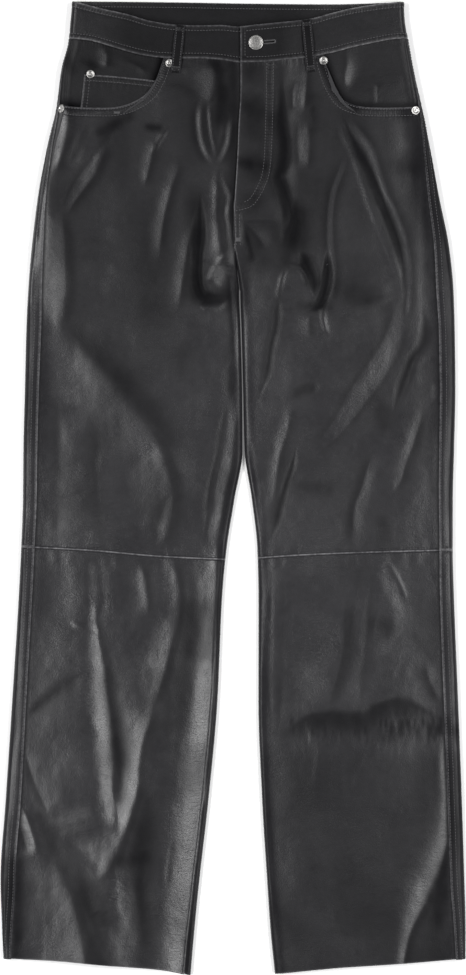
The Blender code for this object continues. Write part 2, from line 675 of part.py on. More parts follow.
# ------------------------------------------------------------ coin pocket
rows, n_col = 5, 7
s_c = np.empty((rows, n_col))
y_c = np.empty_like(s_c)
for r in range(rows):
    for c in range(n_col):
        u, v = c / (n_col - 1), r / (rows - 1)
        x_t = COIN[0].x + (COIN[1].x - COIN[0].x) * u
        y_t = COIN[0].y + (COIN[1].y - COIN[0].y) * u
        x_b = COIN[3].x + (COIN[2].x - COIN[3].x) * u
        y_b = COIN[3].y + (COIN[2].y - COIN[3].y) * u
        y_c[r, c] = y_t + (y_b - y_t) * v
        s_c[r, c] = s_at("right", x_t + (x_b - x_t) * v, y_c[r, c])
outer, inner = thick(s_c, y_c, "right", LEATHER, proud=-(LEATHER + 2 * GAP))
wall("coin_pocket", outer, inner, FACING_MAT)

# ------------------------------------------------------------ fly pieces
def strip(name, side, left_of_y, right_of_y, ys, n_col, depth, t, mat, reach):
    s_g = np.empty((len(ys), n_col))
    y_g = np.empty_like(s_g)
    for r, yy in enumerate(ys):
        for c in range(n_col):
            u = c / (n_col - 1)
            x = left_of_y(yy) + (right_of_y(yy) - left_of_y(yy)) * u
            y_here = yy
            if r == 0:
                y_here = float(FRONT_SEAM_AT(x)) - 2 * GAP
            y_g[r, c] = y_here
            s_g[r, c] = s_at(side, x, y_here, reach)
    outer, inner = thick(s_g, y_g, side, t, reach, proud=-depth)
    wall(name, outer, inner, mat)


strip("fly_facing", "left", lambda y: float(FLY_AT(y)) + 0.6, lambda y: float(J_AT(y)) - 4.5,
      [484.0, 455.0, 425.0, 395.0, 368.0, 350.0, 336.0, 325.0, 319.0], 5,
      LEATHER + 2.6 * GAP, LEATHER, FACING_MAT, 0.0)
strip("fly_underlap", "right", lambda y: float(FLY_AT(y)) - 6.0, lambda y: float(J_AT(y)) - 4.0,
      [484.0, 455.0, 425.0, 395.0, 368.0, 350.0, 342.0], 5,
      LEATHER + GAP, LEATHER, FACING_MAT, 42.0)

# ------------------------------------------------------------ waistband
def band_grid():
    """Columns from the left end over the top, round the wearer's left side,
    along the back, round the right side and over the top to the right end
    that lies under the left one."""
    cols = []
    for x in (7.6, 22, 34, 48, 60, 74, 92, 112, 134, 156, 176, 188):
        cols.append(("left", "x", x))
    for s in (0.75, 0.45, 0.15, -0.2, -0.5, -0.8):
        cols.append(("left", "s", s))
    for s in (-1.0, -1.25, -1.5, -1.75, -2.0):
        cols.append(("left", "s", s))
    for s in (-1.75, -1.5, -1.25, -1.0):
        cols.append(("right", "s", s))
    for s in (-0.8, -0.5, -0.2, 0.15, 0.45, 0.75):
        cols.append(("right", "s", s))
    for x in (-176, -162, -144, -124, -104, -84, -62, -40, -18, 4, 18, 32, 45.5):
        cols.append(("right", "x", x))
    vs = (0.0, 0.5, 1.0)
    outer = np.empty((len(vs), len(cols), 3))
    inner = np.empty_like(outer)
    for c, (side, kind, value) in enumerate(cols):
        reach = 42.0 if side == "right" else 0.0
        for r, v in enumerate(vs):
            y = 530.0
            for _ in range(8):
                if kind == "x":
                    s = float(s_at(side, value, np.array(y), reach))
                else:
                    s = value
                x = float(skin(side, np.array(s), np.array(y), reach)[0])
                lo_f, hi_f = float(FRONT_SEAM_AT(x)) + GAP, float(FRONT_TOP_AT(x))
                lo_b, hi_b = float(BACK_SEAM_AT(x)) + 0.5 * GAP, float(BACK_TOP_AT(x))
                # front lines above the edge, back lines below, mixed on the roll
                w = float(smooth(s, -0.9, 0.9)) if kind == "s" else 1.0
                lo, hi = lo_b + (lo_f - lo_b) * w, hi_b + (hi_f - hi_b) * w
                y = hi + (lo - hi) * v
            s_a, y_a = np.array(s), np.array(y)
            n = skin_normal(side, s_a, y_a, reach)
            p = skin(side, s_a, y_a, reach)
            proud = BAND_PROUD if (kind == "x") else BAND_PROUD * float(smooth(s, 0.0, 0.9))
            if kind == "x" and side == "right" and value > 0:
                proud = BAND_PROUD
            outer[r, c] = p + n * proud
            inner[r, c] = p + n * (proud - BAND)
    return outer, inner


band_outer, band_inner = band_grid()
band = wall("waistband", band_outer, band_inner, BAND_MAT)

# buttonhole: round end at the shank and a narrow slit away from the edge
hole_profile = [Point(-3.1, 2.9), Point(3.1, 2.9), Point(3.8, 0.8), Point(21.5, 0.8),
                Point(21.5, -0.8), Point(3.8, -0.8), Point(3.1, -2.9), Point(-3.1, -2.9)]
z_left = float(top_z("left", BUTTON_AT.x, BUTTON_AT.y)) + BAND_PROUD
z_right = float(top_z("right", BUTTON_AT.x, BUTTON_AT.y, 42.0)) + BAND_PROUD
cut_lo = 0.5 * ((z_left - BAND) + z_right)
hv = [((BUTTON_AT.x + p.x) * MM, (BUTTON_AT.y + p.y) * MM, z * MM)
      for z in (cut_lo, z_left + 4.0) for p in hole_profile]
k = len(hole_profile)
hf = [tuple(range(k - 1, -1, -1)), tuple(range(k, 2 * k))]
hf += [(i, (i + 1) % k, k + (i + 1) % k, k + i) for i in range(k)]
cutter = add_object("buttonhole_cutter", hv, hf, BAND_MAT)
cutter.hide_render = True
cutter.display_type = "WIRE"
cut = band.modifiers.new("buttonhole", "BOOLEAN")
cut.operation = "DIFFERENCE"
cut.solver = "EXACT"
cut.object = cutter

# ------------------------------------------------------------ belt loops
LoopRow = namedtuple("LoopRow", "along lift")
LOOP_SHAPE = [LoopRow(0.0, BAND_PROUD + GAP + 0.2), LoopRow(0.10, BAND_PROUD + 0.7),
              LoopRow(0.25, BAND_PROUD + 2.2), LoopRow(0.50, BAND_PROUD + 2.8),
              LoopRow(0.68, BAND_PROUD + 2.2), LoopRow(0.82, BAND_PROUD + 0.8),
              LoopRow(0.92, GAP + 0.3), LoopRow(1.0, GAP + 0.2)]


def front_loop(name, side, top, bottom):
    outer = np.empty((len(LOOP_SHAPE), 3, 3))
    inner = np.empty_like(outer)
    for r, row in enumerate(LOOP_SHAPE):
        for c, off in enumerate((-0.5, 0.0, 0.5)):
            x = top.x + (bottom.x - top.x) * row.along + off * LOOP_W
            y = top.y + (bottom.y - top.y) * row.along
            z = max(float(top_z(side, x + d, y)) for d in (-6.0, -3.0, 0.0, 3.0, 6.0)) + row.lift
            outer[r, c] = (x, y, z + LOOP_T)
            inner[r, c] = (x, y, z)
    return wall(name, outer, inner, BAND_MAT)


front_loop("belt_loop_front_right", "right", Point(-59.8, 526.6), Point(-65.5, 472.5))
front_loop("belt_loop_front_left", "left", Point(83.3, 532.9), Point(89.0, 473.7))

for name, x in (("belt_loop_back_right", -108.0), ("belt_loop_back_centre", 5.0),
                ("belt_loop_back_left", 118.0)):
    top = float(BACK_TOP_AT(x)) - 0.5
    bm = bmesh.new()
    bmesh.ops.create_cube(bm, size=1.0)
    bmesh.ops.scale(bm, vec=(LOOP_W * MM, (top - 491.0) * MM, LOOP_T * MM), verts=bm.verts)
    bmesh.ops.translate(bm, vec=(x * MM, 0.5 * (top + 491.0) * MM, 0.5 * LOOP_T * MM), verts=bm.verts)
    mesh = bpy.data.meshes.new(name)
    bm.to_mesh(mesh)
    bm.free()
    mesh.materials.append(BAND_MAT)
    obj = bpy.data.objects.new(name, mesh)
    bpy.context.scene.collection.objects.link(obj)

# ------------------------------------------------------------ metal pieces
head_z = z_left + 0.5
foot_z = z_right + GAP
R = 0.5 * BUTTON_D
lathe("waist_button",
      [(0, foot_z), (0.5 * SHANK_D, foot_z), (0.5 * SHANK_D, head_z), (R - 1.6, head_z),
       (R - 0.3, head_z + 0.5), (R, head_z + 1.2), (R - 0.5, head_z + 2.1), (R - 1.4, head_z + 2.5),
       (R - 2.4, head_z + 2.3), (R - 3.4, head_z + 2.35), (0.5 * R, head_z + 2.6), (0, head_z + 2.8)],
      METAL, (BUTTON_AT.x, BUTTON_AT.y, 0.0), (0, 0, 1), 20)

for name, at in RIVETS.items():
    side = "right" if at.x < 0 else "left"
    y_a = np.array(at.y)
    s_a = s_at(side, np.array(at.x), y_a)
    n = skin_normal(side, s_a, y_a)
    p = skin(side, s_a, y_a)
    sunk = LEATHER + 2 * GAP if name == "rivet_coin_pocket" else 0.0
    base = p + n * (GAP - sunk + 0.05)
    r = 0.5 * RIVET_D
    lathe(name, [(0, 0.0), (r - 0.3, 0.0), (r, 0.4), (r - 0.25, 1.0), (r - 1.1, 1.45), (r - 2.1, 1.25),
                 (r - 2.7, 0.75), (1.1, 0.8), (0, 1.3)],
          METAL, tuple(base), tuple(n), 14)
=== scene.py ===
"""Looks of the leather trousers lying on their back, front side up.

Every cloth piece is a thin closed shell on the surface that its plain solid
has, at the same sizes, with the main creases placed one by one.  Sizes here are
millimetres; `shot()` turns a place in the picture's 466 x 975 frame into them.
"""

import math
from collections import namedtuple

import bpy
import numpy as np
from mathutils import Matrix, Vector


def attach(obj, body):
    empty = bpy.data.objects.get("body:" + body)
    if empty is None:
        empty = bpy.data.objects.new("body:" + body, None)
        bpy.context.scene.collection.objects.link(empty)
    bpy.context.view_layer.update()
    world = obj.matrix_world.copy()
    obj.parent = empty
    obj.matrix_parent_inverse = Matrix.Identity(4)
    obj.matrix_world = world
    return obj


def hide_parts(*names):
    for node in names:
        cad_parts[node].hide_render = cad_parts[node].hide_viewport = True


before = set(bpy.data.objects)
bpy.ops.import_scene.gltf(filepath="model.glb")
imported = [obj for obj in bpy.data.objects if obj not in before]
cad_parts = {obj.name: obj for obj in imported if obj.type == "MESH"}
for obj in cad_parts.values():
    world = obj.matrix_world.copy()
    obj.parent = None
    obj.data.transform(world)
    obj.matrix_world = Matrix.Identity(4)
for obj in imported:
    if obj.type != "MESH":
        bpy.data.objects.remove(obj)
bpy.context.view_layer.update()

# ------------------------------------------------------------------ sizes
MM = 0.001
SCALE = 1.14             # mm for each pixel of the picture
LEATHER = 1.2
BAND = 2.7
BAND_PROUD = 0.8
GAP = 0.3
CROTCH_Y = 226.0
GROOVE_Y = 281.0
BACK_SEAM_Y = 508.5
INSEAM_IN = 8.0
FLY_STEP = 3.6
UNDER_WAIST = 1.8
LOOP_W = 11.0
LOOP_T = 1.5
BUTTON_D = 17.0
SHANK_D = 5.0
RIVET_D = 9.6
SEAM_GAP = 0.05          # between sewn pieces
STITCH = 3.4             # pitch of the topstitching
THREAD = 0.65

Section = namedtuple("Section", "y outer inner inset")
Height = namedtuple("Height", "y edge dome roll under")
Point = namedtuple("Point", "x y")
# A face is a slope of a fold that catches the light: the points of its centre
# line with its width there (picture's pixels), its tilt in degrees (positive
# climbs towards +X), which of its borders are crisp ("l", "r", "lr" or ""),
# how it sits (0 half above and half below level, 1 all above, -1 all below)
# and how far the cloth takes to come back to level on its left and right.
Face = namedtuple("Face", "side path tilt crisp sit left right")
# A ridge (high > 0, mm) or trough (high < 0) has its crest on the line and a
# width on its left and right hand; a trough also takes painted shade.
Ridge = namedtuple("Ridge", "side path high left right")
# A shade is a place of painted shade, darker and less glossy, or of painted light where strong is below 0: how strong,
# and how wide (pixels).
Shade = namedtuple("Shade", "side path strong wide")


def shot(px, py):
    return (px - 232.5) * SCALE, (488.5 - py) * SCALE


RIGHT = [
    Section(555, -183.0, 7.0, 0.7),
    Section(534, -185.0, 7.0, 0.7),
    Section(509, -187.0, 7.0, 0.7),
    Section(477, -195.0, 7.0, 1.0),
    Section(432, -200.8, 7.0, 2.2),
    Section(386, -211.5, 7.0, 5.5),
    Section(329, -222.5, 7.0, 9.5),
    Section(272, -229.5, 7.0, 13.5),
    Section(226, -233.2, 7.0, 15.5),
    Section(181, -235.4, 8.5, 17.0),
    Section(112, -237.1, 10.3, 16.1),
    Section(44, -238.8, 10.8, 16.0),
    Section(-13, -239.3, 1.6, 15.7),
    Section(-70, -241.4, -7.4, 15.3),
    Section(-127, -244.3, -12.5, 15.4),
    Section(-241, -251.5, -17.6, 16.2),
    Section(-355, -259.0, -27.9, 17.4),
    Section(-446, -264.9, -38.2, 17.0),
    Section(-503, -262.8, -43.9, 11.6),
    Section(-555, -259.0, -48.4, 5.7),
]
LEFT = [
    Section(555, 194.4, 8.2, 0.7),
    Section(534, 195.5, 8.2, 0.7),
    Section(509, 199.5, 8.2, 0.7),
    Section(477, 205.2, 8.2, 0.8),
    Section(432, 214.9, 8.2, 2.8),
    Section(386, 224.0, 8.2, 7.3),
    Section(329, 235.4, 8.2, 13.1),
    Section(272, 246.6, 8.2, 17.5),
    Section(226, 251.2, 8.2, 19.8),
    Section(181, 252.6, 9.7, 18.3),
    Section(112, 253.4, 11.5, 17.9),
    Section(44, 251.9, 13.1, 17.1),
    Section(-13, 250.5, 21.5, 16.1),
    Section(-70, 250.4, 27.7, 15.3),
    Section(-127, 251.9, 29.0, 16.1),
    Section(-241, 256.5, 28.9, 16.5),
    Section(-355, 260.8, 33.1, 16.6),
    Section(-446, 263.6, 38.8, 16.1),
    Section(-503, 265.0, 42.7, 13.2),
    Section(-555, 264.0, 47.9, 9.1),
]
HEIGHTS = [
    Height(555, 12.6, 2.2, 6.0, UNDER_WAIST),
    Height(486, 12.6, 2.6, 6.5, UNDER_WAIST),
    Height(432, 12.4, 3.2, 10.0, 0.0),
    Height(330, 10.4, 5.4, 7.0, 0.0),
    Height(226, 8.8, 6.0, 5.0, 0.0),
    Height(0, 8.2, 6.0, 5.0, 0.0),
    Height(-400, 8.0, 5.0, 5.0, 0.0),
    Height(-555, 7.9, 3.2, 5.0, 0.0),
]
FRONT_TOP = [Point(-183, 554.8), Point(-149, 545.7), Point(-121, 539.5), Point(-93, 531.5),
             Point(-64, 527.4), Point(-38, 526.6), Point(-14, 527.0), Point(7, 525.3),
             Point(26, 527.2), Point(58, 530.4), Point(90, 534.6), Point(112, 540.6),
             Point(136, 546.3), Point(160, 550.2), Point(184, 553.2), Point(194.4, 554.0)]
FRONT_SEAM = [Point(-187, 512.0), Point(-165, 509.6), Point(-133, 500.7), Point(-117, 496.0),
              Point(-101, 492.3), Point(-83, 489.8), Point(-58, 488.9), Point(-38, 488.9),
              Point(-14, 487.4), Point(9, 484.3), Point(34, 484.8), Point(58, 487.2),
              Point(80, 489.6), Point(112, 495.1), Point(136, 501.5), Point(160, 506.7),
              Point(184, 511.0), Point(199.5, 512.0)]
BACK_TOP = [Point(-183, 554.8), Point(-71, 553.7), Point(26, 552.1), Point(111, 551.4),
            Point(194.4, 554.0)]
BACK_SEAM = [Point(-187, 512.0), Point(-150, BACK_SEAM_Y), Point(160, BACK_SEAM_Y), Point(199.5, 512.0)]
KNEE = {
    "right": [Point(-241.4, -66.1), Point(-160, -70.6), Point(-82, -77.3), Point(-7.4, -80.9)],
    "left": [Point(27.7, -79.2), Point(76, -75.8), Point(154, -72.6), Point(250.4, -70.0)],
}
HEM = {
    "right": [Point(-260.5, -534.7), Point(-202, -538.0), Point(-138, -543.6), Point(-81, -548.3),
              Point(-48.4, -554.6)],
    "left": [Point(47.3, -553.0), Point(76, -550.0), Point(124, -545.5), Point(186, -541.5),
             Point(263.5, -535.0)],
}
FLY = [Point(7.6, CROTCH_Y), Point(1.8, 280), Point(0.9, 317), Point(1.7, 330), Point(4.7, 377),
       Point(6.3, 415), Point(8.3, 451), Point(8.3, 484), Point(7.6, 555)]
CENTRE_BACK = [Point(7.6, CROTCH_Y), Point(5.0, 260), Point(5.0, 555)]
FLY_J = [Point(14.0, 318), Point(24.0, 323), Point(36.5, 344), Point(42.5, 368), Point(45.0, 425),
         Point(46.2, 484)]
MOUTH = {
    "right": [Point(-196.5, 436.0), Point(-180, 433.9), Point(-162.4, 433.1), Point(-134.4, 433.6),
              Point(-113.4, 439.5), Point(-96.6, 450.9), Point(-87.2, 466.1), Point(-81.5, 481.6),
              Point(-79.2, 489.3)],
    "left": [Point(210.5, 434.5), Point(190, 433.4), Point(165.3, 433.1), Point(142.6, 434.9),
             Point(125.6, 441.7), Point(117.0, 453.1), Point(110.6, 466.1), Point(106.0, 481.6),
             Point(103.2, 493.1)],
}
COIN = [Point(-169.3, 471.4), Point(-85.5, 463.6), Point(-85.5, 419.0), Point(-174.8, 419.0)]
BUTTON_AT = Point(26.0, 506.6)
RIVETS = {
    "rivet_mouth_right": Point(-76.7, 483.6),
    "rivet_coin_pocket": Point(-163.2, 471.4),
    "rivet_outseam_right": Point(-194.8, 431.7),
    "rivet_mouth_left": Point(102.9, 486.6),
    "rivet_outseam_left": Point(207.5, 429.9),
}

# ------------------------------------------------------------- the creases
R, L = "right", "left"
FACES = [
    # wearer's right hip: facing inside the pocket
    Face(R, [(98, 47, 6), (103, 58, 7), (101, 70, 6)], 17, "r", 0, 12, 14),
    # below the waistband
    Face(R, [(200, 64, 14), (206, 78, 18), (206, 92, 13), (201, 105, 9)], 6.5, "r", 0, 22, 10),
    Face(R, [(201, 100, 4), (198, 115, 5), (199, 135, 5), (203, 150, 5), (210, 162, 4), (214, 166, 3)], 9.8, "lr", 0, 9, 6),
    Face(R, [(208, 100, 3), (208, 115, 3), (210, 135, 3), (213, 150, 3), (216, 161, 3)], -9.5, "lr", 0, 5, 5),
    Face(R, [(230, 116, 4), (228, 130, 5), (226, 145, 5), (221, 157, 5), (216, 167, 4)], -8.5, "lr", 0, 7, 8),
    Face(R, [(215, 163, 5), (214, 180, 5), (213, 200, 6), (213, 220, 6), (214, 236, 9), (214, 255, 12), (209, 272, 12), (206, 284, 7)],
         9.5, "r", 0, 12, 7),
    Face(R, [(227, 251, 3), (218, 262, 5), (208, 278, 5), (205, 283, 3)], 16.5, "lr", 0, 7, 5),
    Face(R, [(221, 262, 10), (218, 275, 14), (212, 287, 9)], -9, "", 0, 9, 9),
    Face(R, [(220, 168, 4), (221, 180, 4), (226, 192, 5), (228, 200, 4), (226, 215, 4), (228, 227, 4), (230, 250, 5), (233, 300, 4),
             (236, 340, 4), (237, 372, 4)], -7, "lr", 0, 6, 6),
    # outer thigh
    Face(R, [(48, 128, 8), (43, 165, 11), (39, 205, 12), (35, 250, 11), (33, 285, 8)], 16, "", 0.8, 10, 16),
    Face(R, [(60, 96, 12), (59, 125, 16), (56, 150, 14), (51, 178, 6)], 15.5, "r", 1, 12, 30),
    Face(R, [(56, 206, 10), (54, 240, 20), (54, 290, 22), (52, 334, 16)], 7, "r", 0.6, 14, 22),
    Face(R, [(63, 219, 3), (71, 203, 5), (80, 188, 8), (89, 173, 11), (97, 153, 12), (105, 136, 9)], 8, "r", -0.6, 10, 18),
    Face(R, [(149, 138, 8), (148, 152, 8), (146, 168, 6), (141, 189, 5)], 7.4, "r", 0, 12, 14),
    Face(R, [(175, 154, 5), (173, 170, 8), (168, 185, 8), (164, 200, 8), (160, 215, 8), (157, 236, 8), (154, 264, 7)], 6.8, "r", 0, 16, 16),
    Face(R, [(191, 216, 6), (187, 232, 7), (183, 245, 8), (180, 262, 9), (177, 278, 10), (173, 305, 10), (171, 316, 6)], -7, "r", 0.4, 26, 9),
    Face(R, [(114, 262, 8), (110, 280, 10), (102, 298, 9)], 3, "", 0, 16, 16),
    Face(R, [(111, 226, 12), (109, 244, 12)], 2, "", 0, 14, 14),
    Face(R, [(38, 300, 12), (38, 350, 16), (44, 400, 16), (42, 540, 14)], -3, "", 0, 14, 26),
    # above the knee
    Face(R, [(64, 336, 12), (86, 368, 22), (108, 398, 30), (132, 432, 30), (150, 466, 28), (158, 500, 26), (156, 528, 22), (152, 551, 12)],
         5.6, "r", 0, 34, 26),
    Face(R, [(70, 384, 10), (72, 408, 12)], 3, "", 0, 12, 14),
    Face(R, [(168, 440, 6), (180, 466, 8), (189, 492, 7)], -1.5, "l", 0.5, 20, 20),
    Face(R, [(234, 402, 8), (229, 430, 10), (226, 450, 12), (223, 468, 13), (218, 490, 12), (216, 510, 10), (213, 530, 10), (209, 550, 10)],
         -5, "lr", 0.2, 10, 12),
    Face(R, [(90, 528, 8), (90, 548, 9)], 4, "", 0, 10, 10),
    # wearer's right shin
    Face(R, [(90, 553, 8), (94, 590, 9), (92, 614, 11), (92, 626, 10)], -7.8, "", -0.5, 12, 8),
    Face(R, [(90, 604, 8), (93, 638, 11), (96, 665, 14), (98, 690, 15), (100, 715, 17), (103, 740, 15), (105, 765, 13), (106, 790, 12), (110, 815, 13),
             (113, 842, 10)], -16.5, "r", 0.1, 34, 18),
    Face(R, [(165, 545, 8), (170, 575, 12), (172, 595, 14), (171, 615, 14), (164, 640, 16), (157, 665, 17), (151, 690, 14), (146, 712, 9)],
         7.3, "r", 0, 18, 22),
    Face(R, [(148, 700, 12), (142, 720, 14), (136, 742, 12), (134, 765, 10), (131, 790, 11), (120, 815, 19), (111, 840, 18), (98, 862, 22), (84, 880, 16)],
         10.6, "r", 0, 18, 22),
    Face(R, [(209, 535, 12), (210, 590, 12), (209, 620, 12), (208, 645, 14), (206, 670, 16), (205, 694, 16)], -6, "r", -0.5, 34, 10),
    Face(R, [(205, 655, 14), (203, 692, 18), (200, 715, 20), (198, 740, 21), (196, 765, 22), (194, 790, 22), (189, 815, 22), (186, 840, 24), (182, 865, 25),
             (178, 890, 27), (175, 915, 29), (170, 940, 30), (167, 965, 31), (163, 1000, 31)], -13, "r", -0.5, 36, 10),
    Face(R, [(40, 850, 18), (52, 888, 27), (60, 915, 28), (66, 940, 28), (74, 990, 28)], 4.5, "r", 0, 26, 20),
    Face(R, [(114, 862, 12), (120, 890, 15), (124, 915, 16), (122, 940, 20), (118, 990, 22)], -9, "", 0, 20, 16),
    Face(R, [(136, 560, 7), (140, 580, 9), (143, 600, 9), (145, 620, 4)], 8.5, "r", 0, 12, 10),
    Face(R, [(24, 740, 3), (31, 760, 7), (38, 778, 9), (44, 795, 7), (54, 818, 6)], 2.5, "l", 0, 12, 16),
    Face(R, [(20, 805, 3), (25, 822, 6), (30, 840, 8), (34, 857, 9)], 15, "r", 0, 9, 10),
    Face(R, [(72, 800, 20), (78, 830, 22), (86, 860, 16)], 5.5, "", 0, 22, 18),
    Face(R, [(98, 834, 4), (93, 850, 6), (90, 864, 4)], 2.5, "r", 0, 8, 8),
    Face(R, [(46, 552, 20), (48, 620, 26), (52, 690, 28), (60, 760, 22)], -2.5, "", -0.2, 26, 26),
    # wearer's left thigh
    Face(L, [(303, 64, 5), (303, 80, 6), (302, 96, 5), (301, 115, 4)], -5.2, "r", 0, 8, 8),
    Face(L, [(298, 80, 5), (295, 92, 6), (294, 114, 4)], 13, "l", 0, 9, 5),
    Face(L, [(302, 120, 8), (303, 145, 11), (303, 172, 8)], -6, "lr", 0, 12, 13),
    Face(L, [(337, 114, 4), (339, 126, 5), (343, 140, 5), (350, 152, 5), (357, 175, 5), (367, 205, 5), (382, 245, 5), (397, 285, 5), (398, 312, 5)],
         7.5, "", 0, 10, 8),
    Face(L, [(346, 119, 4), (351, 127, 7), (358, 136, 8), (367, 149, 8), (373, 162, 7), (378, 177, 6), (385, 195, 5), (392, 210, 5), (399, 227, 5),
             (404, 242, 5), (407, 265, 5), (408, 300, 5), (404, 334, 4)], 9, "lr", -0.4, 6, 12),
    Face(L, [(346, 152, 4), (341, 170, 5), (335, 186, 5), (331, 202, 5), (329, 225, 5), (330, 250, 6), (332, 275, 6), (328, 300, 6), (322, 314, 4)],
         5, "lr", 0, 7, 12),
    Face(L, [(402, 116, 14), (403, 158, 13)], -2.5, "", 0, 14, 14),
    Face(L, [(417, 162, 5), (419, 200, 5), (419, 262, 5), (418, 334, 5)], -2.5, "", 0, 10, 10),
    Face(L, [(241, 219, 5), (252, 225, 8), (262, 235, 9), (270, 250, 7)], 3.5, "l", -0.5, 7, 16),
    Face(L, [(257, 282, 16), (258, 332, 15)], -1.5, "", 0, 12, 14),
    Face(L, [(304, 314, 9), (304, 340, 8)], 6, "r", 0, 10, 10),
    Face(L, [(430, 215, 12), (433, 260, 14), (434, 330, 14)], 2.5, "", 0, 22, 12),
    # across the thigh above the knee
    Face(L, [(401, 306, 9), (397, 325, 14), (391, 343, 16), (382, 361, 18), (370, 379, 19), (358, 396, 18), (345, 416, 14), (332, 433, 11), (314, 452, 6)],
         -5, "lr", 0.2, 20, 20),
    Face(L, [(421, 404, 5), (414, 425, 8), (407, 445, 9), (400, 465, 8), (396, 480, 8), (387, 497, 5)], -4.5, "r", 0, 14, 10),
    Face(L, [(432, 382, 4), (432, 402, 4)], -4.5, "", 0, 6, 6),
    Face(L, [(293, 400, 5), (287, 415, 7), (282, 435, 7), (276, 455, 7), (272, 480, 7), (269, 500, 7), (261, 513, 4)], 6, "r", 0, 12, 10),
    Face(L, [(379, 448, 6), (371, 470, 9), (365, 490, 9), (358, 510, 9), (357, 530, 9), (355, 548, 7)], -6.5, "l", 0, 12, 14),
    Face(L, [(394, 516, 4), (394, 549, 4)], 2.5, "", 0, 6, 8),
    Face(L, [(340, 514, 8), (341, 549, 8)], 3, "", 0, 12, 12),
    Face(L, [(245, 305, 4), (245, 400, 4), (248, 436, 4), (254, 455, 4), (258, 490, 4), (261, 550, 4)], 5, "", 0, 5, 7),
    # facing inside the left pocket
    Face(L, [(347, 44, 6), (350, 62, 7), (348, 76, 7), (346, 92, 5)], -17, "l", 0, 9, 14),
    Face(L, [(375, 83, 4), (376, 108, 4)], 16, "r", 0, 8, 5),
    # wearer's left shin
    Face(L, [(379, 552, 5), (384, 578, 8), (388, 592, 10), (395, 602, 8), (400, 612, 8), (397, 628, 7), (392, 642, 4)], -3.2, "", 0, 14, 14),
    Face(L, [(441, 728, 4), (441, 760, 5), (443, 800, 7), (441, 835, 11), (430, 868, 17), (416, 898, 18), (405, 928, 11), (400, 955, 8), (395, 990, 8)],
         -10.3, "r", 0.2, 20, 12),
    Face(L, [(380, 638, 14), (387, 656, 10)], -2.5, "", 0, 14, 14),
    Face(L, [(427, 660, 5), (432, 675, 9), (438, 690, 9), (441, 702, 4)], -4.5, "l", 0, 10, 12),
    Face(L, [(332, 590, 22), (326, 650, 30), (314, 706, 24)], 4, "r", 0, 26, 20),
    Face(L, [(317, 732, 4), (315, 760, 4), (311, 792, 4)], 2.5, "", 0, 7, 7),
    Face(L, [(345, 746, 4), (343, 775, 5), (347, 802, 4)], 2.5, "", 0, 7, 7),
    Face(L, [(366, 752, 4), (354, 776, 5), (348, 800, 3)], -2.5, "", 0, 7, 7),
    Face(L, [(382, 750, 4), (383, 782, 4)], 2.5, "", 0, 7, 7),
    Face(L, [(446, 912, 5), (447, 938, 5)], 4, "", 0, 6, 6),
    Face(L, [(276, 745, 14), (284, 820, 18), (292, 905, 16)], 1.5, "", 0, 18, 22),
]
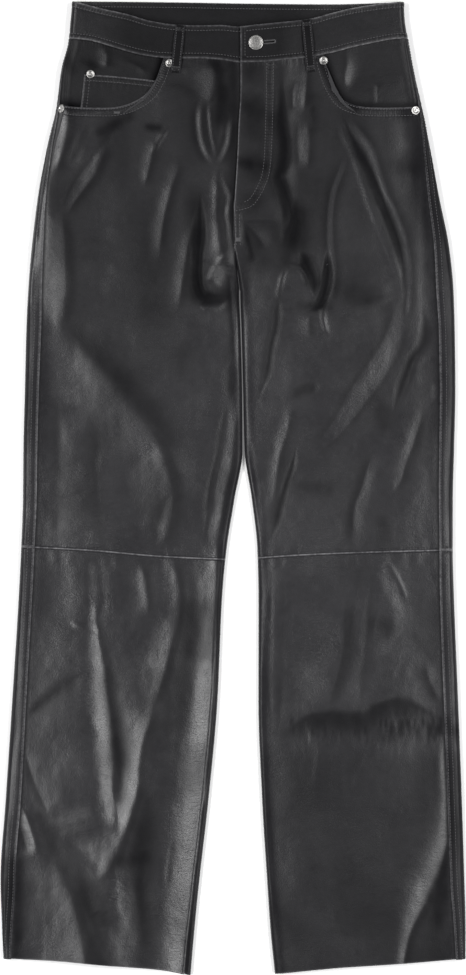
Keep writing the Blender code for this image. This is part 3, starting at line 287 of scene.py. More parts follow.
RIDGES = [
    # hip facing and below the waistband
    Ridge(R, [(104, 58), (114, 55), (125, 61), (140, 68), (149, 75), (158, 78)], 1.7, 4, 6),
    Ridge(R, [(66, 52), (71, 70)], -0.2, 5, 6),
    Ridge(R, [(86, 62), (99, 68)], -0.8, 4, 4),
    Ridge(R, [(158, 84), (172, 74), (190, 69)], 1.2, 5, 5),
    Ridge(R, [(219, 64), (219, 95), (218, 130), (217, 150)], -1.1, 5, 5),
    Ridge(R, [(126, 118), (110, 135), (92, 159), (75, 181), (58, 213)], -0.8, 4, 4),
    Ridge(R, [(88, 122), (76, 149), (67, 167)], -0.7, 3, 4),
    Ridge(R, [(102, 131), (128, 119)], -0.5, 8, 7),
    Ridge(R, [(146, 127), (167, 128)], -0.6, 5, 4),
    Ridge(R, [(168, 129), (158, 143), (152, 156)], 1.1, 2.6, 2.6),
    Ridge(R, [(53, 174), (52, 198), (55, 224)], -0.5, 4, 4),
    Ridge(R, [(200, 192), (200, 230), (198, 260), (198, 284), (204, 297), (216, 298), (229, 294)], -4.2, 4.2, 6.5),
    Ridge(R, [(223, 204), (224, 216)], 0.3, 3, 3),
    Ridge(R, [(197, 304), (206, 309), (218, 307), (228, 300)], 1.3, 4, 3.5),
    Ridge(R, [(206, 282), (212, 287), (222, 290), (229, 292)], -0.3, 2.2, 2.2),
    Ridge(R, [(229, 360), (229, 400)], -0.9, 3.5, 4),
    Ridge(R, [(226, 402), (221, 430), (218, 450), (214, 468), (209, 490), (207, 512), (203, 540)], -1.1, 4, 3.5),
    Ridge(R, [(56, 306), (66, 322), (88, 348), (110, 372), (134, 400), (160, 430), (182, 470)], -1.3, 13, 9),
    Ridge(R, [(87, 404), (95, 440), (95, 480), (98, 520), (101, 546)], -0.9, 6, 7),
    Ridge(R, [(57, 396), (58, 470), (56, 544)], -0.8, 6, 7),
    Ridge(R, [(182, 336), (182, 388)], -0.9, 9, 9),
    Ridge(R, [(174, 490), (162, 510), (157, 530), (155, 550)], -1.0, 5, 5.5),
    # right shin
    Ridge(R, [(69, 619), (77, 625), (86, 627), (94, 630), (99, 638)], 0.8, 3.0, 3.6),
    Ridge(R, [(106, 640), (111, 690), (117, 740), (120, 780), (119, 801)], -1.6, 8, 8),
    Ridge(R, [(88, 672), (70, 683), (55, 693), (40, 706), (26, 717)], -1.2, 6, 5),
    Ridge(R, [(20, 826), (28, 852)], -1.0, 3, 3),
    Ridge(R, [(28, 792), (45, 830), (62, 862), (82, 892), (96, 922), (104, 950)], -1.1, 10, 10),
    Ridge(R, [(112, 862), (124, 864), (140, 858)], -0.4, 7, 7),
    Ridge(R, [(150, 780), (140, 850), (141, 900), (146, 962)], -1.2, 12, 10),
    Ridge(R, [(100, 908), (106, 930)], -0.9, 8, 8),
    Ridge(R, [(172, 838), (166, 886)], -0.6, 2.5, 2.5),
    Ridge(R, [(186, 560), (190, 600), (186, 660), (178, 720), (172, 780)], -1.0, 9, 9),
    # left thigh
    Ridge(L, [(279, 76), (280, 100), (280, 125), (283, 145), (281, 165), (277, 178), (283, 195), (288, 215), (284, 232), (281, 252)], -2.4, 5, 6),
    Ridge(L, [(291, 196), (293, 226), (292, 258)], -2.0, 11, 10),
    Ridge(L, [(298, 250), (308, 269), (313, 285), (314, 298)], -3.2, 5, 4.5),
    Ridge(L, [(284, 264), (299, 269), (307, 280), (311, 292)], 1.3, 2.6, 2.6),
    Ridge(L, [(327, 246), (327, 275), (324, 292), (319, 304), (306, 313)], -4.0, 4, 4.5),
    Ridge(L, [(312, 103), (313, 127)], -0.7, 5, 5),
    Ridge(L, [(338, 108), (347, 129), (355, 147), (365, 165), (374, 185), (382, 205), (390, 225), (397, 245), (401, 265), (402, 292)], -2.2, 3.6, 5),
    Ridge(L, [(391, 166), (412, 170)], -0.4, 8, 8),
    Ridge(L, [(242, 227), (247, 240), (251, 255), (251, 268)], -2.0, 3.5, 3.5),
    Ridge(L, [(241, 221), (262, 220), (280, 220)], 0.5, 2.4, 2.4),
    Ridge(L, [(281, 282), (277, 310), (275, 330), (271, 345), (267, 372), (257, 402)], -1.5, 4, 4),
    Ridge(L, [(286, 266), (280, 285), (278, 307)], 0.8, 2.8, 2.8),
    Ridge(L, [(340, 286), (380, 304)], -0.6, 12, 12),
    Ridge(L, [(328, 316), (345, 315), (360, 308), (380, 301), (393, 297)], 1.0, 5, 6),
    Ridge(L, [(302, 304), (314, 309), (328, 308)], -0.6, 6, 6),
    Ridge(L, [(325, 300), (322, 315), (325, 330), (331, 336)], 0.9, 2.6, 2.6),
    Ridge(L, [(421, 306), (424, 334), (420, 346), (410, 360), (403, 380), (396, 400), (392, 417)], -1.7, 4.2, 4.6),
    Ridge(L, [(378, 402), (383, 432)], -0.6, 9, 9),
    Ridge(L, [(288, 401), (300, 391), (322, 386)], -1.4, 5, 5),
    Ridge(L, [(296, 442), (292, 465), (287, 480), (280, 505), (275, 525), (269, 543)], -1.6, 3.4, 4),
    Ridge(L, [(298, 486), (328, 488)], -0.5, 8, 8),
    Ridge(L, [(382, 518), (383, 548)], -0.5, 7, 7),
    # facing inside the left pocket
    Ridge(L, [(390, 62), (391, 88)], -0.3, 5, 6),
    Ridge(L, [(380, 88), (381, 108)], -0.7, 3, 3),
    Ridge(L, [(399, 48), (401, 62)], -0.2, 4, 4),
    # left shin
    Ridge(L, [(360, 572), (353, 610), (347, 640), (338, 675), (331, 706)], -0.3, 3, 4),
    Ridge(L, [(371, 574), (367, 630), (361, 680), (357, 704)], -0.9, 5, 5),
    Ridge(L, [(271, 570), (270, 620), (268, 680), (273, 735)], -0.4, 3, 3),
    Ridge(L, [(284, 566), (282, 640), (280, 700), (278, 738)], -0.5, 4, 4),
    Ridge(L, [(384, 559), (393, 572), (402, 589), (406, 603)], 0.6, 2.4, 2.4),
    Ridge(L, [(372, 624), (392, 629)], -0.5, 8, 8),
    Ridge(L, [(404, 627), (412, 640), (425, 655), (434, 662)], -0.3, 5, 5),
    Ridge(L, [(277, 737), (290, 731), (300, 724), (312, 718), (330, 716), (350, 718), (362, 717), (372, 710), (385, 704), (395, 703), (408, 706),
              (420, 711), (432, 717), (442, 723)], -1.7, 5, 12),
    Ridge(L, [(441, 868), (437, 900), (434, 934)], -1.2, 6, 7),
    Ridge(L, [(277, 912), (300, 920)], -0.2, 8, 10),
]
SHADES = [
    Shade(R, [(215, 62), (222, 92), (221, 118)], 0.8, 8),
    Shade(R, [(170, 82), (186, 90), (195, 108), (196, 140)], 0.2, 7),
    Shade(R, [(232, 58), (234, 110), (235, 245)], 0.9, 6),
    Shade(R, [(101, 133), (129, 118)], 0.65, 5),
    Shade(R, [(148, 128), (158, 129)], 0.65, 3.5),
    Shade(R, [(151, 226), (149, 304)], 0.4, 24),
    Shade(R, [(194, 200), (194, 290)], 0.5, 10),
    Shade(R, [(196, 296), (230, 297)], 0.6, 8),
    Shade(R, [(62, 54), (72, 70)], 0.4, 6),
    Shade(R, [(84, 62), (100, 68)], 0.35, 5),
    Shade(R, [(226, 356), (230, 398)], 0.25, 5),
    Shade(R, [(72, 318), (112, 364), (160, 420), (178, 450)], 0.22, 16),
    Shade(R, [(116, 740), (121, 800)], 0.4, 5),
    Shade(R, [(184, 600), (185, 665), (170, 715), (160, 765), (146, 830)], 0.1, 12),
    Shade(R, [(110, 862), (142, 858)], 0.35, 8),
    Shade(R, [(148, 800), (143, 850), (142, 902), (148, 968)], 0.4, 13),
    Shade(R, [(88, 892), (92, 930), (100, 962)], 0.45, 14),
    Shade(R, [(14, 862), (15, 962)], 0.9, 9),
    Shade(L, [(252, 72), (254, 110), (255, 196)], 0.55, 13),
    Shade(L, [(250, 208), (262, 262)], 0.4, 11),
    Shade(L, [(276, 226), (286, 262)], 0.4, 12),
    Shade(L, [(245, 89), (257, 90)], -0.85, 8),
    Shade(L, [(242, 147), (253, 148)], -0.85, 8),
    Shade(L, [(246, 187), (260, 188)], -0.75, 7),
    Shade(L, [(238, 103), (268, 119)], 0.35, 8),
    Shade(L, [(241, 164), (264, 167)], 0.7, 6),
    Shade(L, [(281, 70), (284, 120), (282, 180), (288, 230), (287, 262)], 0.25, 5),
    Shade(L, [(300, 214), (304, 262)], 0.25, 8),
    Shade(L, [(312, 98), (313, 130)], 0.25, 6),
    Shade(L, [(322, 64), (336, 92), (354, 109)], 0.95, 5),
    Shade(L, [(364, 60), (366, 96)], 0.3, 7),
    Shade(L, [(330, 66), (338, 92)], 0.6, 5),
    Shade(L, [(392, 166), (412, 169)], 0.3, 7),
    Shade(L, [(338, 290), (382, 304)], 0.35, 12),
    Shade(L, [(300, 306), (328, 309)], 0.5, 6),
    Shade(L, [(379, 404), (384, 428)], 0.35, 9),
    Shade(L, [(300, 486), (326, 489)], 0.4, 9),
    Shade(L, [(382, 520), (383, 546)], 0.35, 8),
    Shade(L, [(374, 624), (390, 628)], 0.4, 9),
    Shade(L, [(360, 572), (347, 640), (331, 706)], 0.12, 4),
    Shade(L, [(437, 868), (436, 958)], 0.35, 10),
    Shade(L, [(450, 905), (452, 960)], -0.5, 8),
    Shade(L, [(278, 912), (300, 934)], 0.25, 16),
    Shade(L, [(284, 732), (330, 724), (362, 725), (400, 716), (440, 730)], 0.22, 9),
]
# Shallow creases of the underside, pressed up from the surface below.
UNDER_RIDGES = [
    Ridge(R, [(60, 250), (120, 262), (200, 268)], 1.6, 9, 13),
    Ridge(R, [(40, 300), (110, 300), (215, 286)], 1.3, 8, 10),
    Ridge(R, [(60, 560), (120, 575), (200, 570)], 1.5, 9, 12),
    Ridge(R, [(50, 600), (130, 604), (190, 596)], 1.1, 8, 10),
    Ridge(R, [(30, 420), (110, 452), (200, 500)], 1.0, 12, 16),
    Ridge(R, [(40, 820), (90, 790), (160, 780)], 1.0, 10, 12),
    Ridge(L, [(262, 266), (330, 270), (430, 246)], 1.6, 10, 12),
    Ridge(L, [(262, 288), (340, 304), (430, 300)], 1.2, 8, 11),
    Ridge(L, [(290, 572), (360, 580), (430, 566)], 1.4, 9, 12),
    Ridge(L, [(290, 602), (350, 610), (420, 604)], 1.0, 8, 10),
    Ridge(L, [(290, 500), (360, 452), (440, 412)], 1.0, 12, 14),
    Ridge(L, [(300, 800), (370, 806), (440, 790)], 0.9, 9, 12),
]


# ------------------------------------------------------------ curve reading
def reader(xs, ys):
    order = np.argsort(xs)
    x = np.asarray(xs, float)[order]
    y = np.asarray(ys, float)[order]
    h = np.diff(x)
    d = np.diff(y) / h
    m = np.empty_like(y)
    m[0], m[-1] = d[0], d[-1]
    for i in range(1, len(x) - 1):
        if d[i - 1] * d[i] <= 0:
            m[i] = 0.0
        else:
            m[i] = 2 * d[i - 1] * d[i] / (d[i - 1] + d[i])

    def read(v):
        v = np.clip(np.asarray(v, float), x[0], x[-1])
        k = np.clip(np.searchsorted(x, v) - 1, 0, len(h) - 1)
        t = (v - x[k]) / h[k]
        return ((2 * t ** 3 - 3 * t ** 2 + 1) * y[k] + (t ** 3 - 2 * t ** 2 + t) * h[k] * m[k]
                + (3 * t ** 2 - 2 * t ** 3) * y[k + 1] + (t ** 3 - t ** 2) * h[k] * m[k + 1])
    return read


def by_x(points):
    return reader([p.x for p in points], [p.y for p in points])


def by_y(points):
    return reader([p.y for p in points], [p.x for p in points])


def column(rows, name):
    return reader([r.y for r in rows], [getattr(r, name) for r in rows])


def smooth(v, a, b):
    t = np.clip((np.asarray(v, float) - a) / (b - a), 0.0, 1.0)
    return t * t * (3 - 2 * t)


def bell(v, at, wide):
    return np.exp(-((np.asarray(v, float) - at) / wide) ** 2)


def curve_through(points, step=4.0):
    """Points every `step` along a smooth curve through the given ones."""
    p = np.asarray(points, float)
    ext = np.vstack([2 * p[0] - p[1], p, 2 * p[-1] - p[-2]])
    out = []
    for i in range(1, len(ext) - 2):
        a, b, c, d = ext[i - 1], ext[i], ext[i + 1], ext[i + 2]
        n = max(2, int(np.linalg.norm(c - b) / step))
        t = np.linspace(0, 1, n, endpoint=False)[:, None]
        out.append(0.5 * ((2 * b) + (c - a) * t + (2 * a - 5 * b + 4 * c - d) * t ** 2
                          + (3 * b - 3 * c + d - a) * t ** 3))
    return np.vstack(out + [p[-1:]])


def noise2(x, y, seed):
    """Smooth value noise, -1 to 1, with one cell for each unit."""
    xi, yi = np.floor(x).astype(np.int64), np.floor(y).astype(np.int64)
    fx, fy = x - xi, y - yi
    fx = fx * fx * fx * (fx * (fx * 6 - 15) + 10)
    fy = fy * fy * fy * (fy * (fy * 6 - 15) + 10)

    def corner(a, b):
        h = (a * 374761393 + b * 668265263 + seed * 974634777) & 0xFFFFFFFF
        h = ((h ^ (h >> 13)) * 1274126177) & 0xFFFFFFFF
        h = (h ^ (h >> 16)) & 0xFFFFFFFF
        return h / 2147483648.0 - 1.0
    return ((corner(xi, yi) * (1 - fx) + corner(xi + 1, yi) * fx) * (1 - fy)
            + (corner(xi, yi + 1) * (1 - fx) + corner(xi + 1, yi + 1) * fx) * fy)


def pucker(t, period, seed):
    """Uneven wave along a seam, -1 to 1."""
    t = np.asarray(t, float)
    z = np.zeros_like(t)
    phase = 2.2 * noise2(t / 31.0, z + 3.1, seed)
    size = 0.62 + 0.38 * noise2(t / 17.0, z + 7.7, seed + 5)
    return size * np.sin(2 * math.pi * t / period + phase)


OUTER = {"right": column(RIGHT, "outer"), "left": column(LEFT, "outer")}
INNER = {"right": column(RIGHT, "inner"), "left": column(LEFT, "inner")}
INSET = {"right": column(RIGHT, "inset"), "left": column(LEFT, "inset")}
EDGE_H = column(HEIGHTS, "edge")
DOME_H = column(HEIGHTS, "dome")
ROLL = column(HEIGHTS, "roll")
UNDER = column(HEIGHTS, "under")
FRONT_TOP_AT = by_x(FRONT_TOP)
FRONT_SEAM_AT = by_x(FRONT_SEAM)
BACK_TOP_AT = by_x(BACK_TOP)
BACK_SEAM_AT = by_x(BACK_SEAM)
KNEE_AT = {s: by_x(p) for s, p in KNEE.items()}
HEM_AT = {s: by_x(p) for s, p in HEM.items()}
FLY_AT = by_y(FLY)
CB_AT = by_y(CENTRE_BACK)
J_AT = by_y(FLY_J)
SIGN = {"right": 1.0, "left": -1.0}


def near_line(x, y, line, reach):
    """Signed distance to a line (positive on its left hand) and how far
    along it, 0 to 1; far points keep 1e3."""
    dist = np.full(x.shape, 1e3)
    side = np.zeros(x.shape)
    along = np.zeros(x.shape)
    lo, hi = line.min(0) - reach, line.max(0) + reach
    pick = (x > lo[0]) & (x < hi[0]) & (y > lo[1]) & (y < hi[1])
    if not pick.any():
        return dist, along
    px, py = x[pick], y[pick]
    best = np.full(px.shape, 1e9)
    sgn = np.zeros(px.shape)
    run = np.zeros(px.shape)
    seg = np.hypot(*np.diff(line, axis=0).T)
    start = np.concatenate([[0], np.cumsum(seg)])
    for k in range(len(line) - 1):
        ax, ay = line[k]
        lx, ly = line[k + 1] - line[k]
        t = ((px - ax) * lx + (py - ay) * ly) / max(seg[k] ** 2, 1e-9)
        t = np.clip(t, 0, 1)
        d = np.hypot(px - ax - t * lx, py - ay - t * ly)
        cross = lx * (py - ay) - ly * (px - ax)
        nearer = d < best
        best = np.where(nearer, d, best)
        sgn = np.where(nearer, np.sign(cross), sgn)
        run = np.where(nearer, start[k] + t * seg[k], run)
    dist[pick] = best * np.where(sgn == 0, 1, sgn)
    along[pick] = run / start[-1]
    return dist, along


def to_line(path):
    return curve_through([shot(*p) for p in path], 5.0)


def by_share(path):
    """Width (mm) along a face, by its share of the way."""
    p = np.array(path, float)
    run = np.concatenate([[0], np.cumsum(np.hypot(*np.diff(p[:, :2], axis=0).T))])
    return run / run[-1], p[:, 2] * SCALE


# running integral of exp(-u ** q): a soft border (q = 2) and a crisp one
U_GRID = np.linspace(0.0, 4.0, 401)
CLIMB = {}
for q in (1.9, 3.2, 4.2):
    fall = np.exp(-U_GRID ** q)
    CLIMB[q] = np.concatenate([[0.0], np.cumsum(0.5 * (fall[1:] + fall[:-1]) * 0.01)])


FACE_LINES = [(f, to_line([p[:2] for p in f.path]),
               by_share(f.path)) for f in FACES]
RIDGE_LINES = [(r, to_line(r.path)) for r in RIDGES]
UNDER_LINES = [(r, to_line(r.path)) for r in UNDER_RIDGES]
SHADE_LINES = [(s, to_line(s.path)) for s in SHADES]
MOUTH_LINE = {s: curve_through([(p.x, p.y) for p in m], 4.0) for s, m in MOUTH.items()}
J_LINE = curve_through([(p.x, p.y) for p in FLY_J], 4.0)
J_LINE = np.vstack([[(2.5, 315.2)], J_LINE])


# ------------------------------------------------------------ the outer skin
def legness(y):
    return 1.0 - smooth(y, CROTCH_Y, GROOVE_Y)


def inner_roll(y):
    return 2.0 + 3.0 * legness(y)


def fly_x(y, side, reach):
    lap = reach * smooth(y, 326.0, 338.0) if side == "right" else 0.0
    gap = 0.15 if side == "right" else -0.15
    seam = FLY_AT(y) - gap * (1.0 - smooth(y, 326.0, 338.0) if side == "right" else 1.0)
    return np.where(np.asarray(y) >= CROTCH_Y, seam + lap, INNER[side](y))


def fold_rise(side, x, y):
    """Height of all folds, how much a place lies on a lit slope, and how much
    painted shade it takes, darker and less glossy: in troughs, beside crisp face
    borders, along the listed shades and towards the waist, with random dull patches."""
    rise = np.zeros(x.shape)
    lit = np.zeros(x.shape)
    painted_shade_and_dull = np.zeros(x.shape)
    for k, (f, line, (share, width)) in enumerate(FACE_LINES):
        if f.side != side:
            continue
        reach = 0.8 * width.max() + 2.6 * SCALE * max(f.left, f.right)
        d, along = near_line(x, y, line, reach)
        near = np.abs(d) < 900
        if not near.any():
            continue
        d = d[near] * np.sign(line[0, 1] - line[-1, 1])    # positive towards +X
        t = along[near]
        run = t * 5.0 * len(line)
        half = 0.55 * np.interp(t, share, width)
        fade = min(0.26, 32.0 / (5.0 * len(line)))
        ends = smooth(t, -0.02, fade) * (1 - smooth(t, 1.0 - fade, 1.02))
        # a steep fold keeps its slope more evenly
        steep = float(smooth(abs(f.tilt), 9.0, 14.0))
        slope = math.tan(math.radians(f.tilt)) * (1.10 - 0.07 * steep + (0.34 - 0.22 * steep) * noise2(run / 24.0, 0.0 * run + 0.37 * k, 81))
        crisp = [c in f.crisp for c in "lr"]
        one = crisp[0] != crisp[1]
        # with one crisp border the steepest place lies near it
        wl, wr = ((0.60 if one else 1.0) if c else (1.75 if one else 1.25) for c in crisp)
        d = d - (0.38 * half * (1 if crisp[1] else -1) if one else 0.0)
        ql, qr = ((4.2 if one else 3.2) if c else 1.9 for c in crisp)
        size = half * np.where(d < 0, wl, wr)
        u = np.abs(d) / size
        climb = np.where(d < 0, -np.interp(u, U_GRID, CLIMB[ql]) * wl, np.interp(u, U_GRID, CLIMB[qr]) * wr)
        low, high = -CLIMB[ql][-1] * wl, CLIMB[qr][-1] * wr
        middle = 0.5 * (low + high) - f.sit * np.sign(f.tilt) * 0.5 * (high - low)
        z = slope * half * (climb - middle)
        back = SCALE * np.where(d < 0, f.left * (1.1 if crisp[0] else 1.45), f.right * (1.1 if crisp[1] else 1.45))
        z = z * np.exp(-(np.maximum(np.abs(d) - size, 0.0) / back) ** 2)
        rise[near] += ends * z
        lit[near] += ends * np.exp(-u ** 2.5) * min(1.0, abs(f.tilt) / 12.0)
        # painted shade beside the crisp borders of the lit faces
        edge = np.where(d < 0, crisp[0], crisp[1]) * smooth(u, 0.8, 1.15)
        painted_shade_and_dull[near] = np.maximum(painted_shade_and_dull[near], 0.5 * ends * edge * np.exp(-(np.maximum(np.abs(d) - half, 0.0) / 6.5) ** 2))
    painted_shade_and_dull = painted_shade_and_dull * (1 - np.clip(lit, 0, 1))
    for k, (r, line) in enumerate(RIDGE_LINES):
        if r.side != side:
            continue
        d, along = near_line(x, y, line, 3.0 * SCALE * max(r.left, r.right))
        near = np.abs(d) < 900
        if not near.any():
            continue
        d, t = d[near], along[near]
        ends = smooth(t, -0.02, 0.30) * (1 - smooth(t, 0.70, 1.02))
        run = t * 5.0 * len(line)
        wide = SCALE * np.where(d > 0, r.left, r.right) * (0.35 + 0.65 * ends)
        wide = wide * (1.0 + 0.28 * noise2(run / 17.0, 0.0 * run + 0.61 * k, 82))
        # a deep trough has steep walls, a shallow one rounded ones
        power = 2.0 + 1.0 * min(1.0, max(0.0, -r.high - 1.5) / 1.0)
        rise[near] += r.high * (0.62 if r.high < 0 else 1.0) * ends * np.exp(-np.abs(d / wide) ** power)
        # a trough also takes painted shade: darker and less glossy
        if r.high < 0:
            patchy = 0.95 + 0.14 * noise2(x[near] / 10.0, y[near] / 18.0, 84)
            shade = min(1.9, 1.3 * (-0.5 * r.high) ** 1.4) * patchy * ends * np.exp(-(d / (1.12 * wide + 1.0)) ** 2)
            shade = shade * (1.0 - 0.7 * np.clip(lit[near], 0.0, 1.0))
            painted_shade_and_dull[near] = np.maximum(painted_shade_and_dull[near], np.clip(shade, 0.0, 2.0))
    # painted shade along the listed shades; a negative one is painted light
    for s, line in SHADE_LINES:
        if s.side != side:
            continue
        d, along = near_line(x, y, line, 2.4 * SCALE * s.wide)
        near = np.abs(d) < 900
        if near.any():
            patchy = 0.85 + 0.22 * noise2(x[near] / 9.0, y[near] / 16.0, 83)
            shade = s.strong * patchy * np.exp(-(d[near] / (SCALE * s.wide)) ** 2)
            shade = shade * (1.0 - 0.6 * np.clip(lit[near], 0.0, 1.0))
            painted_shade_and_dull[near] = painted_shade_and_dull[near] + 1.3 * np.maximum(shade, 0.0) + painted_shade_and_dull[near] * np.clip(shade, -0.9, 0.0)
    # slack of the leather between the named folds
    rise += 1.15 * noise2(x / 56.0 + 9.0, y / 135.0, 3) + 0.46 * noise2(x / 25.0, y / 60.0, 4)
    rise += (0.09 + 0.10 * np.clip(lit, 0, 1)) * noise2(x / 9.0, y / 14.0, 5)
    rise += 0.035 * (0.4 + np.clip(lit, 0, 1)) * noise2(x / 4.2, y / 6.0, 7)
    # random dull patches, and painted shade growing towards the waist
    painted_shade_and_dull = painted_shade_and_dull + 0.22 * smooth(noise2(x / 45.0, y / 80.0, 8), 0.0, 0.6) + 0.50 * smooth(y, 130.0, 390.0) * (1.0 - np.clip(lit, 0, 1))
    if side == "left":
        # darker and less glossy towards the hem of the left leg
        painted_shade_and_dull = painted_shade_and_dull + 0.34 * smooth(-y, 285.0, 315.0) * (1.0 - np.clip(lit, 0, 1))
        # short upright wrinkles under the break of the shin, with painted shade in them
        low = bell(y, -272.0, 17.0) * smooth(x, 50, 75)
        rise += 0.15 * noise2(x / 3.4, y / 15.0, 6) * bell(y, -276.0, 24.0) * smooth(x, 50, 75)
        painted_shade_and_dull = np.maximum(painted_shade_and_dull, low * np.clip(0.68 + 0.55 * noise2(x / 3.0, y / 12.0, 9), 0.0, 1.5))
    return rise, np.clip(lit, 0.0, 1.0), 1.0 - np.exp(-1.25 * np.maximum(painted_shade_and_dull, 0.0))


def seam_relief(side, x, y):
    """Small shape along the seams of the upper side."""
    out = np.zeros(x.shape)
    # knee seam: a thin raised line between two shallow dips
    d = y - KNEE_AT[side](x)
    out += 0.8 * bell(d, 0, 1.1) - 0.35 * bell(np.abs(d), 2.6, 1.0)
    out += 0.17 * pucker(x, 19.0, 21) * bell(d, -9.0, 10.0) + 0.10 * pucker(x, 15.0, 29) * bell(d, 7.0, 6.0)
    out += 0.09 * pucker(x, 5.0, 20) * bell(d, 0, 3.0)
    # under the waistband
    d = FRONT_SEAM_AT(x) - y
    near = smooth(d, -1.0, 0.5) * np.exp(-np.maximum(d, 0) / 6.0)
    out += near * (-0.55 + 0.30 * pucker(x, 8.5, 22))
    # pocket mouth: rolled edge and two rows of stitches
    d, along = near_line(x, y, MOUTH_LINE[side], 26.0)
    inside = -d * SIGN[side]          # positive on the front panel
    on = (np.abs(d) < 900) & (inside > -0.5)
    t = along * 190.0
    rows = -0.32 * bell(inside, 2.0, 0.8) - 0.32 * bell(inside, 9.6, 0.9)
    quilt = 0.22 * bell(inside, 5.8, 2.6) * (1 + 0.9 * pucker(t, 7.2, 23))
    quilt += 0.12 * pucker(t, 7.2, 24) * bell(inside, 9.6, 6.0)
    out += np.where(on, rows + quilt, 0.0)
    if side == "left":
        # fly: edge of the lap and the J rows
        past = x - FLY_AT(y)
        high = smooth(y, 300.0, 318.0)
        out += high * (-0.15 * bell(past, 0.0, 1.4))
        d, along = near_line(x, y, J_LINE, 20.0)
        # left hand of the line (which runs upwards) is towards the fly edge
        on = np.abs(d) < 900
        t = along * 190.0
        rows = -0.34 * bell(d, 0.0, 0.9) - 0.34 * bell(d, 7.6, 0.9)
        quilt = 0.20 * bell(d, 3.8, 2.4) * (1 + pucker(t, 8.0, 26)) + 0.12 * pucker(t, 8.0, 27) * bell(d, -2.0, 6.0)
        out += np.where(on, rows + quilt, 0.0)
        # lapped centre seam under the fly
        low = smooth(y, 272.0, 286.0) * (1 - smooth(y, 306.0, 320.0))
        out += low * (0.9 * smooth(past, -0.2, 0.8) * (1 - smooth(past, 6.8, 9.6))
                      - 0.3 * bell(past, 1.8, 0.7) - 0.3 * bell(past, 6.4, 0.7)
                      + 0.15 * pucker(y, 6.5, 28) * bell(past, 4.0, 3.4))
    return out


LIT = {}


def top_z(side, x, y, reach=0.0, folds=True, seams=True):
    x, y = np.broadcast_arrays(np.asarray(x, float), np.asarray(y, float))
    sign = SIGN[side]
    edge, roll, under = EDGE_H(y), ROLL(y), UNDER(y)
    d_out = np.maximum((x - OUTER[side](y)) * sign, 0.0)
    x_in = fly_x(y, side, reach)
    d_in = np.maximum((x_in - x) * sign, 0.0)
    leg = legness(y)
    rise_in = 1.0 - leg * np.exp(-d_in / 40.0)
    body = edge + DOME_H(y) * (1.0 - np.exp(-d_out / 44.0)) * rise_in
    LIT["last"] = None
    if folds:
        calm = smooth(d_out, 0.5, 9.0) * (1.0 - leg * (1.0 - smooth(d_in, 0.5, 9.0)))
        calm = calm * (1.0 - 0.75 * smooth(y, 470.0, 496.0)) * (0.8 + 0.2 * smooth(y, -556.0, -540.0))
        rise, lit, painted_shade_and_dull = fold_rise(side, x, y)
        body = body + rise * calm
        LIT["last"], LIT["painted_shade_and_dull"] = lit * calm, painted_shade_and_dull
        # painted shade: the gloss is cut along the flanks and the inner edges, except on lit slopes
        high_strip = smooth(y, 195.0, 225.0) if side == "right" else 0.0
        flank = (1.0 - smooth(d_out, 20.0, 36.0)) * (1.0 - high_strip) * (0.55 + 0.45 * smooth(d_out, 1.0, 7.0))
        flank = flank * (1.0 - 0.4 * smooth(-y, -110.0, -20.0))
        shin = smooth(-y, 60.0, 90.0) if side == "right" else 0.0
        flank = np.maximum(flank, 0.85 * leg * (0.5 + 0.5 * smooth(d_in, 1.0, 5.0)) * (1.0 - smooth(d_in, 7.0 - 5.0 * shin, 17.0 - 9.0 * shin)))
        LIT["matt_painted_shade"] = flank * (1.0 - 0.85 * lit)
    if side == "left":
        past = (x - FLY_AT(y))
        body = body + FLY_STEP * smooth(y, 288.0, 311.0) * (1.0 - smooth(past, 44.0, 74.0))
    if seams:
        body = body + seam_relief(side, x, y)
    middle = under + 0.5 * (edge - under)
    t = np.minimum(d_out / roll, 1.0)
    z = middle + (body - middle) * np.sqrt(np.maximum(1.0 - (1.0 - t) ** 2, 0.0))
    t = np.minimum(d_in / inner_roll(y), 1.0)
    end = leg * 0.5 * EDGE_H(y) + (1.0 - leg) * z
    return end + (z - end) * np.sqrt(np.maximum(1.0 - (1.0 - t) ** 2, 0.0))


def under_z(side, x, y):
    """Creases of the underside: pressed up from the surface below."""
    rise = np.zeros(x.shape)
    for r, line in UNDER_LINES:
        if r.side != side:
            continue
        d, along = near_line(x, y, line, 3.0 * max(r.left, r.right))
        ends = smooth(along, 0.0, 0.35) * (1 - smooth(along, 0.65, 1.0))
        wide = np.where(d > 0, r.left, r.right)
        rise += np.where(np.abs(d) < 900, r.high * ends * np.exp(-(d / wide) ** 2), 0.0)
    rise += 0.22 * np.maximum(noise2(x / 34.0, y / 30.0, 11), 0) + 0.12 * np.maximum(noise2(x / 15.0, y / 12.0, 12), 0)
    return rise


